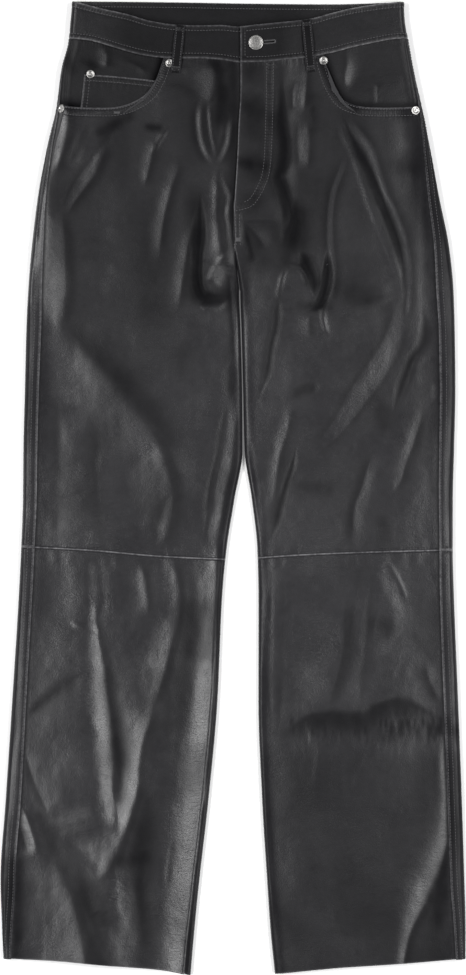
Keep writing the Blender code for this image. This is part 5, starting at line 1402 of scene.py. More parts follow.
BLEND_Y = 396.0
SURF = {}
for side in ("right", "left"):
    sign = SIGN[side]
    knee = KNEE_AT[side]
    hem = HEM_AT[side]
    reach = 8.0 if side == "right" else 0.0
    cols, count = front_columns(side)

    def flat_line(x):
        return np.full(np.shape(x), BLEND_Y)

    def above_knee(x):
        return knee(x) + 0.5 * SEAM_GAP

    def below_knee(x):
        return knee(x) - 0.5 * SEAM_GAP

    # ---- front thigh
    steps = 1.0 - dense_start(BLEND_Y + 75.0, 1.6)[::-1]
    s_reg, y_reg = solve_rows(side, cols, flat_line, above_knee, steps, count, reach)
    line = MOUTH_LINE[side].copy()
    x_os = OUTER[side](line[0, 1]) + sign * (INSET[side](line[0, 1]) + 0.1)
    line[0, 0] = x_os
    run = np.concatenate([[0], np.cumsum(np.hypot(*np.diff(line, axis=0).T))])
    waist_x0, fly_end = line[-1, 0], float(fly_x(484.0, side, reach))
    n_mouth = int(count * run[-1] / (run[-1] + abs(fly_end - waist_x0) * 1.25))
    t = run[-1] * np.interp(np.arange(n_mouth) / (n_mouth - 1),
                            np.linspace(0, 1, len(dense_start(run[-1], 1.8))), dense_start(run[-1], 1.8))
    edge_x = np.interp(t, run, line[:, 0])
    edge_y = np.interp(t, run, line[:, 1])
    waist_x = np.linspace(edge_x[-1], fly_end, count - n_mouth + 1)[1:]
    edge_x = np.concatenate([edge_x, waist_x])
    edge_y = np.concatenate([edge_y, FRONT_SEAM_AT(waist_x) - SEAM_GAP])
    edge_y[n_mouth - 1] = float(FRONT_SEAM_AT(edge_x[n_mouth - 1])) - SEAM_GAP
    f = dense_start(70.0, 1.35)[:-1][:, None]
    yy = edge_y + (BLEND_Y - edge_y) * f
    reg_here = skin_x(side, cols(yy), yy, reach)
    e2 = edge_y[None, :]
    reg_edge = skin_x(side, cols(e2), e2, reach)
    xx = reg_here + (edge_x - reg_edge) * (1 - f) ** 2 * (1 + 2 * f)
    s_up = s_at(side, xx, yy, reach)
    s_up[:, 0] = cols(yy)[:, 0]
    s_all = np.concatenate([s_up, s_reg])
    y_all = np.concatenate([yy, y_reg])
    p = skin(side, s_all, y_all, reach)
    on_top_side = (s_all > 0) & (s_all < 2.5)
    lit, painted_shade_and_dull, matt_painted_shade = LIT["last"] * on_top_side, LIT["painted_shade_and_dull"] * on_top_side, LIT["matt_painted_shade"] * (s_all > 0)
    n = grid_normals(p)
    out = 1 if n[len(f) + 20, 60, 2] > 0 else -1
    n = n * out
    across, down = arc_from(p, 1), arc_from(p, 0)
    from_end = across[:, -1:] - across
    in_mouth = np.clip((n_mouth + 2 - np.arange(count)) / 4.0, 0, 1)
    d_mouth = down + 50 * (1 - in_mouth)[None, :]
    drop = folded(d_mouth)
    if side == "left":
        at_fly = smooth(y_all, 281, 287)
        drop = np.maximum(drop, folded(from_end) * at_fly)
    # the seam allowance lies under the back's folded edge
    dip = -0.14 * np.exp(-(across / 2.6) ** 2) + 0.09 * pucker(y_all, 8.2, 31) * np.exp(-(across / 7.0) ** 2)
    # painted shadow along the outseam beside the back's folded edge
    painted_shade_and_dull = np.maximum(painted_shade_and_dull, 0.75 * np.exp(-(across / 3.4) ** 2))
    dip = dip * smooth(down, 0, 3.0)
    outer = p + n * (dip - drop)[..., None]
    inner = p - n * LEATHER
    # paler along the mouth's rolled edge, the outseam and the knee seam: partly rubbing, partly painted highlight
    wear_and_edge_highlight = 0.9 * np.exp(-(d_mouth / 1.3) ** 2) + 0.12 * np.exp(-(across / 1.5) ** 2)
    if side == "left":
        wear_and_edge_highlight = wear_and_edge_highlight + 0.8 * np.exp(-(from_end / 1.2) ** 2) * at_fly
    knee_d = down[-1:] - down
    wear_and_edge_highlight = wear_and_edge_highlight + 0.9 * np.exp(-(knee_d / 0.75) ** 2)
    # painted highlight: the lit slopes raise the gloss
    flex_and_highlight = 0.25 * bell(y_all, -72, 34) + 0.9 * lit
    values = {"wear_and_edge_highlight": np.clip(wear_and_edge_highlight, 0, 1), "flex_and_highlight": flex_and_highlight, "painted_shade_and_dull": painted_shade_and_dull, "matt_painted_shade": matt_painted_shade}
    near, along = near_line(p[..., 0], p[..., 1], MOUTH_LINE[side], 26.0)
    spots = [(bell(-near * sign, 5.8, 4.4) * (np.abs(near) < 900), along * 190.0),
             (0.5 * bell(across, 0.0, 5.0), y_all), (0.5 * bell(knee_d, 0.0, 4.0), p[..., 0]),
             (0.7 * bell(FRONT_SEAM_AT(p[..., 0]) - y_all, 0.0, 4.5), p[..., 0])]
    if side == "left":
        near, along = near_line(p[..., 0], p[..., 1], J_LINE, 20.0)
        spots.append((bell(near, 3.8, 4.2) * (np.abs(near) < 900), along * 190.0))
    values.update(quilted(spots))
    obj = shell("panel_front_upper_" + side, outer, inner, [LEATHER_MAT, BACKING], out, 3, values)
    cloth(obj, "front_upper_" + side, flat_of(outer))
    SURF["front_" + side] = (outer, n)

    # ---- front shin
    steps = dense_start(470.0, 1.6)
    s_reg, y_reg = solve_rows(side, cols, below_knee, hem, steps, count)
    p = skin(side, s_reg, y_reg)
    on_top_side = (s_reg > 0) & (s_reg < 2.5)
    lit, painted_shade_and_dull, matt_painted_shade = LIT["last"] * on_top_side, LIT["painted_shade_and_dull"] * on_top_side, LIT["matt_painted_shade"] * (s_reg > 0)
    n = grid_normals(p)
    out = 1 if n[60, 60, 2] > 0 else -1
    n = n * out
    across, down = arc_from(p, 1), arc_from(p, 0)
    dip = -0.14 * np.exp(-(across / 2.6) ** 2) + 0.09 * pucker(y_reg, 8.2, 31) * np.exp(-(across / 7.0) ** 2)
    # painted shadow along the outseam beside the back's folded edge
    painted_shade_and_dull = np.maximum(painted_shade_and_dull, 0.75 * np.exp(-(across / 3.4) ** 2))
    outer = p + n * dip[..., None]
    inner = p - n * LEATHER
    to_hem = down[-1:] - down
    # paler along the knee seam, the outseam and the hem: partly rubbing, partly painted highlight
    wear_and_edge_highlight = 0.9 * np.exp(-(down / 0.75) ** 2) + 0.12 * np.exp(-(across / 1.5) ** 2) + 0.5 * np.exp(-(to_hem / 0.8) ** 2)
    # painted highlight: the lit slopes raise the gloss
    flex_and_highlight = 0.25 * bell(y_reg, -72, 30) + 0.9 * lit
    values = {"wear_and_edge_highlight": np.clip(wear_and_edge_highlight, 0, 1), "flex_and_highlight": flex_and_highlight, "painted_shade_and_dull": painted_shade_and_dull, "matt_painted_shade": matt_painted_shade}
    values.update(quilted([(0.5 * bell(across, 0.0, 5.0), y_reg), (0.5 * bell(down, 0.0, 4.0), p[..., 0])]))
    obj = shell("panel_front_lower_" + side, outer, inner, [LEATHER_MAT, BACKING], out, 3, values)
    cloth(obj, "front_lower_" + side, flat_of(outer))

    # ---- back, thigh and shin
    bcols, bcount = back_columns(side)

    def under_band(x):
        return BACK_SEAM_AT(x) - SEAM_GAP

    def back_hem(x):
        return hem(x) - 1.0
    parts = []
    top_steps = dense_start(580.0, 2.2)
    for node, lo, hi, steps in (("back_upper_", under_band, above_knee, top_steps),
                                ("back_lower_", below_knee, back_hem, dense_start(470.0, 2.2))):
        if node == "back_upper_":
            k1, k2 = 112.0 / 580.0, 1.0
            s_b, y_b = solve_rows(side, bcols, lo, hi, steps, bcount)
        else:
            s_b, y_b = solve_rows(side, bcols, lo, hi, steps, bcount)
        p = skin(side, s_b, y_b)
        painted_shade_and_dull, matt_painted_shade = LIT["painted_shade_and_dull"] * (s_b > 0), LIT["matt_painted_shade"] * (s_b > -0.5)
        n = grid_normals(p)
        out = 1 if n[len(steps) // 2, 3, 2] > 0 else -1
        n = n * out
        across, down = arc_from(p, 1), arc_from(p, 0)
        wide = across[:, len(STRIP) - 1][:, None]
        lap = 0.85 * (1 - smooth(across, 9.4, 15.5)) * smooth(wide, 1.0, 9.0)
        lap = lap + 0.25 * (1 - smooth(across, 9.4, 15.5)) * (1 - smooth(wide, 1.0, 9.0))
        t = y_b + 0.0
        quilt = 0.24 * (0.6 + pucker(t, 7.8, 41)) * bell(across, 4.9, 2.5) + 0.14 * pucker(t, 7.8, 42) * bell(across, 10.5, 4.0)
        lines = -0.28 * bell(across, 2.2, 0.75) - 0.28 * bell(across, 7.6, 0.8)
        ends = 1.0
        drop = folded(across, 0.9)
        edge_wave = 0.16 * pucker(t, 7.8, 43) * bell(across, 0.0, 1.8)
        outer = p + n * (lap + (quilt + lines + edge_wave) * ends - drop)[..., None]
        inner = p - n * LEATHER
        inner[:, :len(STRIP)] += (n * np.minimum(lap, 0.5)[..., None] * 0.0)[:, :len(STRIP)]
        # paler along the folded outseam edge and the knee seam: partly rubbing, partly painted highlight
        wear_and_edge_highlight = 0.55 * np.exp(-(across / 0.7) ** 2) + 0.10 * bell(across, 4.9, 1.6)
        kd = down[-1:] - down if node == "back_upper_" else down
        wear_and_edge_highlight = wear_and_edge_highlight + 0.85 * np.exp(-(kd / 0.8) ** 2)
        flex_and_highlight = 0.6 * bell(y_b, -72, 30) + 0.6 * bell(y_b, 236, 40)
        values = {"wear_and_edge_highlight": np.clip(wear_and_edge_highlight, 0, 1), "flex_and_highlight": flex_and_highlight, "painted_shade_and_dull": painted_shade_and_dull, "matt_painted_shade": matt_painted_shade}
        values.update(quilted([(0.6 * bell(across, 4.9, 3.6), y_b), (0.5 * bell(kd, 0.0, 4.0), p[..., 0])]))
        obj = shell("panel_" + node + side, outer, inner, [LEATHER_MAT, BACKING], out, 2, values)
        cloth(obj, node + side, flat_of(outer))
        dist = arc_from(outer, 1)
        for at in (2.2, 7.6):
            pts, nr = rows_at(outer, n, dist, at)
            add_row("stitches_outseam_" + side, pts + nr * 0.05, nr)

    # ---- hip facing inside the pocket mouth
    deep = 3.6 if side == "right" else 2.0
    inner_x = MOUTH[side][-1].x + sign * 20.0
    v = np.linspace(0, 1, 62)[:, None]
    u = dense_start(130.0, 1.35)[None, :]
    base_y = 410.0
    yy = base_y + v * 80.0 + 0 * u
    for _ in range(8):
        tuck = 0.15 + 1.5 * (1 - smooth(yy, 434.0, 439.0))
        s_os = outseam_s(side, yy, tuck)
        s_in = s_at(side, inner_x, yy)
        ss = s_os + (s_in - s_os) * u
        x_here = skin_x(side, ss, yy)
        yy = base_y + v * (FRONT_SEAM_AT(x_here) - SEAM_GAP - base_y)
    in_by = (x_here - OUTER[side](yy) - sign * INSET[side](yy)) * sign
    depth = np.maximum(deep * smooth(in_by, 1.5, 12.0), (LEATHER + 0.5) * (1 - smooth(yy, 435.0, 440.0)))
    p = skin(side, ss, yy, folds=True, seams=False)
    n = grid_normals(p)
    out = 1 if n[30, 40, 2] > 0 else -1
    n = n * out
    across = arc_from(p, 1)
    from_top = FRONT_SEAM_AT(x_here) - yy
    rel = np.exp(-np.maximum(from_top, 0) / 6.0) * (-0.3 + 0.2 * pucker(x_here, 8.5, 22))
    rel = rel - 0.3 * np.exp(-(across / 2.4) ** 2)
    outer = p + n * (rel - depth)[..., None]
    inner = p - n * (depth + LEATHER)[..., None]
    # painted shadow on the facing under the front's edge at the mouth
    values = {"wear_and_edge_highlight": 0.0 * depth, "flex_and_highlight": 0.2 + 0.7 * LIT["last"], "painted_shade_and_dull": (0.95 if side == "right" else 0.45) * LIT["painted_shade_and_dull"] + 0.45 * smooth(in_mouth_shade(side, x_here, yy), 0, 1)}
    values.update(quilted([(0.7 * bell(from_top, 0.0, 4.5), p[..., 0]), (0.5 * bell(across, 0.0, 5.0), yy)]))
    obj = shell("facing_hip_" + side, outer, inner, [FACING_MAT, BACKING], out, 3, values)
    cloth(obj, "hip_facing_" + side, flat_of(outer))
    if side == "right":
        FACING_DEEP = deep

# ------------------------------------------------------------ coin pocket
u = np.linspace(0, 1, 66)[None, :]
v = dense_start(50.0, 1.2)[:, None]
x_t = COIN[0].x + (COIN[1].x - COIN[0].x) * u
y_t = COIN[0].y + (COIN[1].y - COIN[0].y) * u + 0.9 * np.sin(math.pi * u)
x_b = COIN[3].x + (COIN[2].x - COIN[3].x) * u
y_b = COIN[3].y + (COIN[2].y - COIN[3].y) * u
yy = y_t + (y_b - y_t) * v
xx = x_t + (x_b - x_t) * v
ss = s_at("right", xx, yy)
p = skin("right", ss, yy, seams=False)
n = grid_normals(p)
out = 1 if n[10, 20, 2] > 0 else -1
n = n * out
across, down = arc_from(p, 1), arc_from(p, 0)
sunk = LEATHER + 2 * GAP
rel = -0.28 * bell(down, 2.0, 0.8) - 0.28 * bell(down, 7.6, 0.8) + 0.2 * (0.5 + pucker(across, 7.0, 51)) * bell(down, 4.8, 2.2)
rel = rel - 0.28 * bell(across, 2.0, 0.8) - 0.24 * bell(across, 7.0, 0.8) + 0.16 * pucker(down, 7.0, 52) * bell(across, 4.4, 2.2)
rel = rel + 0.15 * pucker(across, 7.0, 53) * bell(down, 11.0, 4.0)
drop = np.maximum(folded(down), folded(across))
outer = p + n * (rel - drop - sunk)[..., None]
inner = p - n * (sunk + LEATHER)
wear_and_edge_highlight = 0.9 * np.exp(-(down / 1.3) ** 2) + 0.7 * np.exp(-(across / 1.2) ** 2)
values = {"wear_and_edge_highlight": np.clip(wear_and_edge_highlight, 0, 1), "flex_and_highlight": 0 * wear_and_edge_highlight, "painted_shade_and_dull": 0.4 + 0 * wear_and_edge_highlight}
values.update(quilted([(bell(down, 4.8, 4.0), across), (bell(across, 4.5, 4.0), down)]))
obj = shell("pocket_coin", outer, inner, [FACING_MAT, BACKING], out, 3, values)
cloth(obj, "coin_pocket", flat_of(outer))
for at in (2.0, 7.6):
    pts, nr = rows_at(outer, n, arc_from(outer, 0), at, axis=0)
    add_row("stitches_front", pts + nr * 0.05, nr)
for at in (2.0, 7.0):
    pts, nr = rows_at(outer, n, arc_from(outer, 1), at)
    add_row("stitches_front", pts + nr * 0.05, nr)


# ------------------------------------------------------------ fly pieces
def strip(name, side, x_a, x_b, y_lo, y_hi, depth, reach, node):
    v = np.linspace(0, 1, 60)[:, None]
    u = np.linspace(0, 1, 20)[None, :]
    yy = y_lo + (y_hi - y_lo) * v + 0 * u
    for _ in range(4):
        xx = x_a(yy) + (x_b(yy) - x_a(yy)) * u
        yy = y_lo + (FRONT_SEAM_AT(xx) - 0.2 - y_lo) * v
    ss = s_at(side, xx, yy, reach)
    p = skin(side, ss, yy, reach, folds=True, seams=False)
    n = grid_normals(p)
    out = 1 if n[20, 10, 2] > 0 else -1
    n = n * out
    outer = p - n * depth
    obj = shell(name, outer, outer - n * LEATHER, [FACING_MAT, BACKING], out, 2, {"wear_and_edge_highlight": 0 * xx, "flex_and_highlight": 0 * xx})
    cloth(obj, node, flat_of(outer))


strip("facing_fly", "left", lambda y: FLY_AT(y) + 0.8, lambda y: J_AT(y) - 4.5, 320.0, 484.0,
      LEATHER + 2.2 * GAP, 0.0, "fly_facing")
strip("underlap_fly", "right", lambda y: FLY_AT(y) - 6.0, lambda y: J_AT(y) - 4.0, 342.0, 484.0,
      LEATHER + GAP, 42.0, "fly_underlap")

# fly stitches: J rows, centre strip below it
for d in (0.0, 7.6):
    line = offset_line(J_LINE, d)
    line = line[line[:, 0] > FLY_AT(line[:, 1]) + 1.2]
    top = FRONT_SEAM_AT(line[:, 0]) - line[:, 1]
    line = line[top > 0.8]
    pts, nr = on_top("left", line, 0.05)
    add_row("stitches_front", pts, nr)
for d in (1.8, 6.4):
    ys = np.linspace(312.0, 276.0, 20)
    pts, nr = on_top("left", np.stack([FLY_AT(ys) + d, ys], axis=1), 0.05)
    add_row("stitches_front", pts, nr)
for side in ("right", "left"):
    sign = SIGN[side]
    for d in (2.0, 9.6):
        line = offset_line(MOUTH_LINE[side], -sign * d)
        inset = (line[:, 0] - OUTER[side](line[:, 1])) * sign - INSET[side](line[:, 1])
        line = line[(inset > 0.8) & (FRONT_SEAM_AT(line[:, 0]) - line[:, 1] > 0.8)]
        pts, nr = on_top(side, line, 0.05, 8.0 if side == "right" else 0.0)
        add_row("stitches_front", pts, nr)


# ------------------------------------------------------------ waistband
def band_half(side, s):
    reach = 42.0 if side == "right" else 0.0
    s = np.asarray(s, float)[None, :]
    v = V_BAND[:, None]
    y = np.full((len(V_BAND), s.shape[1]), 530.0)
    w = smooth(s, -0.9, 0.9)
    for _ in range(8):
        x = skin_x(side, s, y, reach)
        lo_f, hi_f = FRONT_SEAM_AT(x) + SEAM_GAP, FRONT_TOP_AT(x)
        lo_b, hi_b = BACK_SEAM_AT(x) + SEAM_GAP, BACK_TOP_AT(x)
        y = (hi_b + (hi_f - hi_b) * w) * (1 - v) + (lo_b + (lo_f - lo_b) * w) * v
    p = skin(side, s, y, reach, folds=True, seams=False)
    if side == "right":
        p = p + 0.0
    proud = BAND_PROUD * smooth(s, 0.0, 0.9) + 0 * y
    return p, proud, y


V_SLIT = 0.488
half = 0.8 / 42.4
V_BAND = np.unique(np.concatenate([
    [0, 0.25 / 42, 0.6 / 42, 1.2 / 42], np.linspace(2.0 / 42, V_SLIT - 2.9 / 42, 17),
    [V_SLIT - 1.9 / 42, V_SLIT - half, V_SLIT + half, V_SLIT + 1.9 / 42],
    np.linspace(V_SLIT + 2.9 / 42, 1 - 2.0 / 42, 17), [1 - 1.2 / 42, 1 - 0.6 / 42, 1 - 0.25 / 42, 1]]))
fine_end = 2.0 + np.arcsin(1 - np.array([0.0, 0.25, 0.6, 1.2]) / 2.0) / (0.5 * math.pi)
s_left = np.concatenate([fine_end, np.linspace(2, 1, 126), np.linspace(1, 0, 9)[1:], np.linspace(0, -1, 7)[1:],
                         np.linspace(-1, -2, 62)[1:]])
s_right = np.concatenate([np.linspace(-2, -1, 62)[1:], np.linspace(-1, 0, 7)[1:], np.linspace(0, 1, 9)[1:],
                          np.linspace(1, 2, 158)[1:], [2.4, 2.8]])
pl, proud_l, yl = band_half(L, s_left)
pr, proud_r, yr = band_half(R, s_right)
p = np.concatenate([pl, pr], axis=1)
proud = np.concatenate([proud_l, proud_r], axis=1)
n = grid_normals(p)
out = 1 if n[10, 40, 2] > 0 else -1
n = n * out
around, down = arc_from(p, 1), arc_from(p, 0)
up = down[-1:] - down
on_front = np.concatenate([smooth(s_left, 0.2, 1.0), smooth(s_right, 0.2, 1.0)])[None, :]
rel = -0.26 * bell(down, 6.6, 0.8) - 0.26 * bell(up, 6.6, 0.8)
rel = rel + 0.17 * pucker(around, 8.0, 61) * bell(down, 3.4, 3.0) + 0.17 * pucker(around, 8.0, 62) * bell(up, 3.4, 3.0)
rel = rel + 0.30 * bell(down, 2.8, 2.6) + 0.30 * bell(up, 2.8, 2.6) + 0.22 * noise2(around / 30.0, down / 18.0, 63)
rel = rel + np.where(around < 60, -0.26 * bell(around, 6.0, 0.8) + 0.22 * bell(around, 2.6, 2.4), 0.0)
drop = np.maximum(np.maximum(folded(down, 1.2), folded(up, 1.2)), np.where(around < 60, folded(around, 1.2), 0.0))
outer = p + n * (proud + rel - drop)[..., None]
rel_in = 0.22 * bell(down, 6.6, 0.8) - 0.25 * bell(down, 2.8, 2.6) - 0.15 * pucker(around, 8.0, 64) * bell(down, 3.4, 3.0)
drop_in = np.maximum(folded(down, 1.2), folded(up, 1.2))
inner = p + n * (proud - BAND + rel_in + drop_in)[..., None]
# paler along the folded edges of the band: partly rubbing, partly painted highlight
wear_and_edge_highlight = 0.9 * np.exp(-(down / 1.4) ** 2) * (0.35 + 0.65 * on_front) + 0.8 * np.exp(-(up / 1.4) ** 2)
wear_and_edge_highlight = wear_and_edge_highlight + np.where(around < 60, 0.8 * np.exp(-(around / 1.4) ** 2), 0)
hole = np.zeros((p.shape[0] - 1, p.shape[1] - 1), bool)
mid = 0.25 * (p[1:, 1:, 0] + p[:-1, 1:, 0] + p[1:, :-1, 0] + p[:-1, :-1, 0])
v_mid = 0.5 * (V_BAND[1:] + V_BAND[:-1])[:, None]
first = np.zeros_like(hole)
first[:, :len(s_left) // 2] = True
hole |= first & (mid > BUTTON_AT.x - 3.4) & (mid < 47.3) & (np.abs(v_mid - V_SLIT) < half)
hole |= first & (mid > BUTTON_AT.x - 3.4) & (mid < BUTTON_AT.x + 3.4) & (np.abs(v_mid - V_SLIT) < 2.9 / 42)
# the band is darker and less glossy through its middle
middle = smooth(p[..., 0], -175.0, -110.0) * (1.0 - smooth(p[..., 0], 60.0, 120.0))
values = {"wear_and_edge_highlight": np.clip(wear_and_edge_highlight, 0, 1), "flex_and_highlight": 0.35 * bell(down, 3, 3) + 0.35 * bell(up, 3, 3), "painted_shade_and_dull": 0.5 * middle}
values.update(quilted([(bell(down, 3.4, 3.6), around), (bell(up, 3.4, 3.6), around)]))
band = shell("band_waist", outer, inner, [BAND_MAT, BAND_MAT], out, 1, values, hole)
cloth(band, "waistband", flat_of(outer))
for dist in (arc_from(outer, 0), None):
    if dist is not None:
        pts, nr = rows_at(outer, n, dist, 6.6, axis=0)
        keep = around.mean(axis=0) > 6.0
        add_row("stitches_band", pts[keep] + nr[keep] * 0.05, nr[keep])
    else:
        back = (outer[::-1], n[::-1])
        pts, nr = rows_at(back[0], back[1], arc_from(back[0], 0), 6.6, axis=0)
        keep = around.mean(axis=0) > 6.0
        add_row("stitches_band", pts[keep] + nr[keep] * 0.05, nr[keep])
pts, nr = rows_at(outer, n, arc_from(outer, 1), 6.0)
keep = (down[:, 5] > 6.6) & (up[:, 5] > 6.6)
add_row("stitches_band", pts[keep] + nr[keep] * 0.05, nr[keep])
pts, nr = rows_at(inner, -n, arc_from(inner, 0), 6.6, axis=0)
is_back = np.concatenate([s_left < 0.4, s_right < 0.4])
add_row("stitches_band", pts[is_back] + nr[is_back] * 0.05, nr[is_back])
lap = outer[:, :len(s_left) // 2]
Z_LEFT = float(np.mean(lap[(np.abs(lap[..., 0] - 28) < 9) & (np.abs(lap[..., 1] - 507) < 8)][:, 2]))

# buttonhole: satin bars along both lips and round its far end
vi = np.argmin(np.abs(V_BAND - (V_SLIT - half)))
vj = np.argmin(np.abs(V_BAND - (V_SLIT + half)))
for row, way in ((vi, 1.0), (vj, -1.0)):
    lip = outer[row, :len(s_left) // 2]
    xs = np.arange(BUTTON_AT.x - 3.0, 47.6, 0.62)
    order = np.argsort(lip[:, 0])
    c = np.stack([xs, np.interp(xs, lip[order, 0], lip[order, 1]) + way * 0.75, np.interp(xs, lip[order, 0], lip[order, 2]) + 0.1], axis=1)
    add_bars("stitches_band", c, np.tile([0.0, 1.0, 0.0], (len(c), 1)), (0, 0, 1), 1.8, 0.5)
c0 = c[-1]
ang = np.linspace(-1.3, 1.3, 7)
c = np.stack([47.4 + 0.9 * np.cos(ang), np.full(7, c0[1] + 1.55) + 1.3 * np.sin(ang), np.full(7, c0[2])], axis=1)
add_bars("stitches_band", c, np.stack([np.cos(ang), np.sin(ang), 0 * ang], axis=1), (0, 0, 1), 1.8, 0.5)


# ------------------------------------------------------------ belt loops
def strap(name, node, centre, half_w, thick):
    """Strap along centre points: folded edges, two rows of stitches."""
    run = np.concatenate([[0], np.cumsum(np.linalg.norm(np.diff(centre, axis=0), axis=1))])
    count = int(run[-1] / 1.1)
    t = np.linspace(0, run[-1], count)
    c = np.stack([np.interp(t, run, centre[:, i]) for i in range(3)], axis=1)
    tang = unit(np.gradient(c, axis=0))
    side_v = unit(np.cross(tang, np.array([0.0, 0.0, 1.0])))
    up_v = unit(np.cross(side_v, tang))
    off = np.array([-1, -0.97, -0.9, -0.8, -0.66, -0.5, -0.33, -0.16, 0, 0.16, 0.33, 0.5, 0.66, 0.8, 0.9, 0.97, 1.0]) * half_w
    from_side = half_w - np.abs(off)
    crown = 0.25 * (1 - (off / half_w) ** 2) - 0.2 * bell(from_side, 2.1, 0.7)
    drop = folded(from_side, 0.8)
    puck = 0.10 * pucker(t, 6.0, 71)[:, None] * bell(from_side, 1.6, 2.0)[None, :]
    h = (crown - drop)[None, :] + puck
    top = c[:, None, :] + side_v[:, None, :] * off[None, :, None] + up_v[:, None, :] * (thick + h)[..., None]
    low = c[:, None, :] + side_v[:, None, :] * off[None, :, None] + up_v[:, None, :] * 0.0
    n = unit(np.cross(np.gradient(top, axis=1), np.gradient(top, axis=0)))
    out = 1 if (n[count // 2, 8] * up_v[count // 2]).sum() > 0 else -1
    n = n * out
    wear_and_edge_highlight = 0.9 * np.exp(-(from_side / 0.9) ** 2)[None, :] + np.zeros((count, 1))
    obj = shell(name, top, low, [BAND_MAT, BAND_MAT], out, 1, {"wear_and_edge_highlight": 0.55 * wear_and_edge_highlight, "flex_and_highlight": 0 * wear_and_edge_highlight, "painted_shade_and_dull": 0.7 + 0 * wear_and_edge_highlight})
    flat = (2 * half_w * MM, run[-1] * MM, 0.99 * 2 * half_w * run[-1] * MM * MM)
    cloth(obj, node, flat)
    for k in (4, 12):
        add_row("stitches_band", top[2:-2, k] + n[2:-2, k] * 0.05, n[2:-2, k], pitch=2.9)
    return top, n, side_v, t


LIFT = ((0.0, BAND_PROUD + 0.5), (0.10, BAND_PROUD + 0.9), (0.25, BAND_PROUD + 2.0), (0.50, BAND_PROUD + 2.5),
        (0.68, BAND_PROUD + 2.0), (0.80, BAND_PROUD + 1.2), (0.92, 0.7), (1.0, 0.5))
for name, side, a, b in (("front_right", R, Point(-59.8, 526.6), Point(-65.5, 472.5)),
                         ("front_left", L, Point(83.3, 532.9), Point(89.0, 473.7))):
    t = np.linspace(0, 1, 40)
    x, y = a.x + (b.x - a.x) * t, a.y + (b.y - a.y) * t
    z = np.max([top_z(side, x + d, y, 0.0, True, False) for d in (-5.5, -2.7, 0.0, 2.7, 5.5)], axis=0)
    z = np.convolve(np.pad(z, 3, mode="edge"), np.ones(7) / 7, mode="valid")
    z = z + reader([v[0] for v in LIFT], [v[1] for v in LIFT])(t)
    top, n, side_v, run = strap("loop_" + name, "belt_loop_" + name, np.stack([x, y, z], axis=1), 0.5 * LOOP_W, LOOP_T - 0.25)
    # bar tacks at both ends
    for lo, hi in ((3.0, 7.0), (run[-1] - 6.5, run[-1] - 2.0)):
        for r in np.arange(lo, hi, 0.55):
            k = int(np.argmin(np.abs(run - r)))
            add_bars("stitches_band", [top[k, 8] + n[k, 8] * 0.12], [side_v[k]], n[k, 8], 8.4, 0.42)
for name, x in (("back_right", -108.0), ("back_centre", 5.0), ("back_left", 118.0)):
    hi = float(BACK_TOP_AT(x)) - 0.8
    ys = np.linspace(hi, 491.4, 30)
    c = np.stack([np.full(30, x), ys, np.full(30, 1.55)], axis=1)
    # the outer face of these looks down
    run0 = hi - 491.4
    off = np.array([-1, -0.97, -0.9, -0.8, -0.66, -0.33, 0, 0.33, 0.66, 0.8, 0.9, 0.97, 1.0]) * 0.5 * LOOP_W * 0.98
    from_side = 0.5 * LOOP_W * 0.98 - np.abs(off)
    low = np.stack([x + off[None, :] + 0 * ys[:, None], ys[:, None] + 0 * off[None, :],
                    np.broadcast_to(0.06 + 0.12 * bell(from_side, 2.1, 0.7) + folded(from_side, 0.55), (30, len(off)))], axis=-1)
    top = low.copy()
    top[..., 2] = 1.45
    n = np.zeros_like(low)
    n[..., 2] = -1
    obj = shell("loop_" + name, low, top, [BAND_MAT, BAND_MAT], 1 if np.cross(low[0, 1] - low[0, 0], low[1, 0] - low[0, 0])[2] < 0 else -1,
                1, {"painted_shade_and_dull": np.full((30, len(off)), 0.6), "wear_and_edge_highlight": np.broadcast_to(0.8 * np.exp(-(from_side / 0.9) ** 2), (30, len(off))), "flex_and_highlight": np.zeros((30, len(off)))})
    cloth(obj, "belt_loop_" + name, (LOOP_W * MM, run0 * MM, 0.97 * LOOP_W * run0 * MM * MM))
    for k in (4, 8):
        add_row("stitches_band", low[1:-1, k] + [0, 0, -0.02], n[1:-1, k], pitch=2.9, thick=0.12)

# bar tacks on the fronts: pocket bag and foot of the fly
for side, at, way, length, count in ((R, shot(117, 113.6), (1.0, 0.0), 3.2, 12), (L, shot(235.5, 240.0), (0.0, 1.0), 7.0, 8)):
    a = np.array(at)
    t = np.arange(count) * 0.55 - 0.275 * count
    if way[0]:
        line = np.stack([a[0] + t, a[1] + 0 * t], axis=1)
        acr = (0.0, 1.0, 0.0)
    else:
        line = np.stack([np.full(count, FLY_AT(a[1]) + 4.0), a[1] + t], axis=1)
        acr = (1.0, 0.0, 0.0)
    pts, nr = on_top(side, line, 0.2)
    add_bars("stitches_front", pts, np.tile(acr, (len(pts), 1)), nr, length, 0.5)


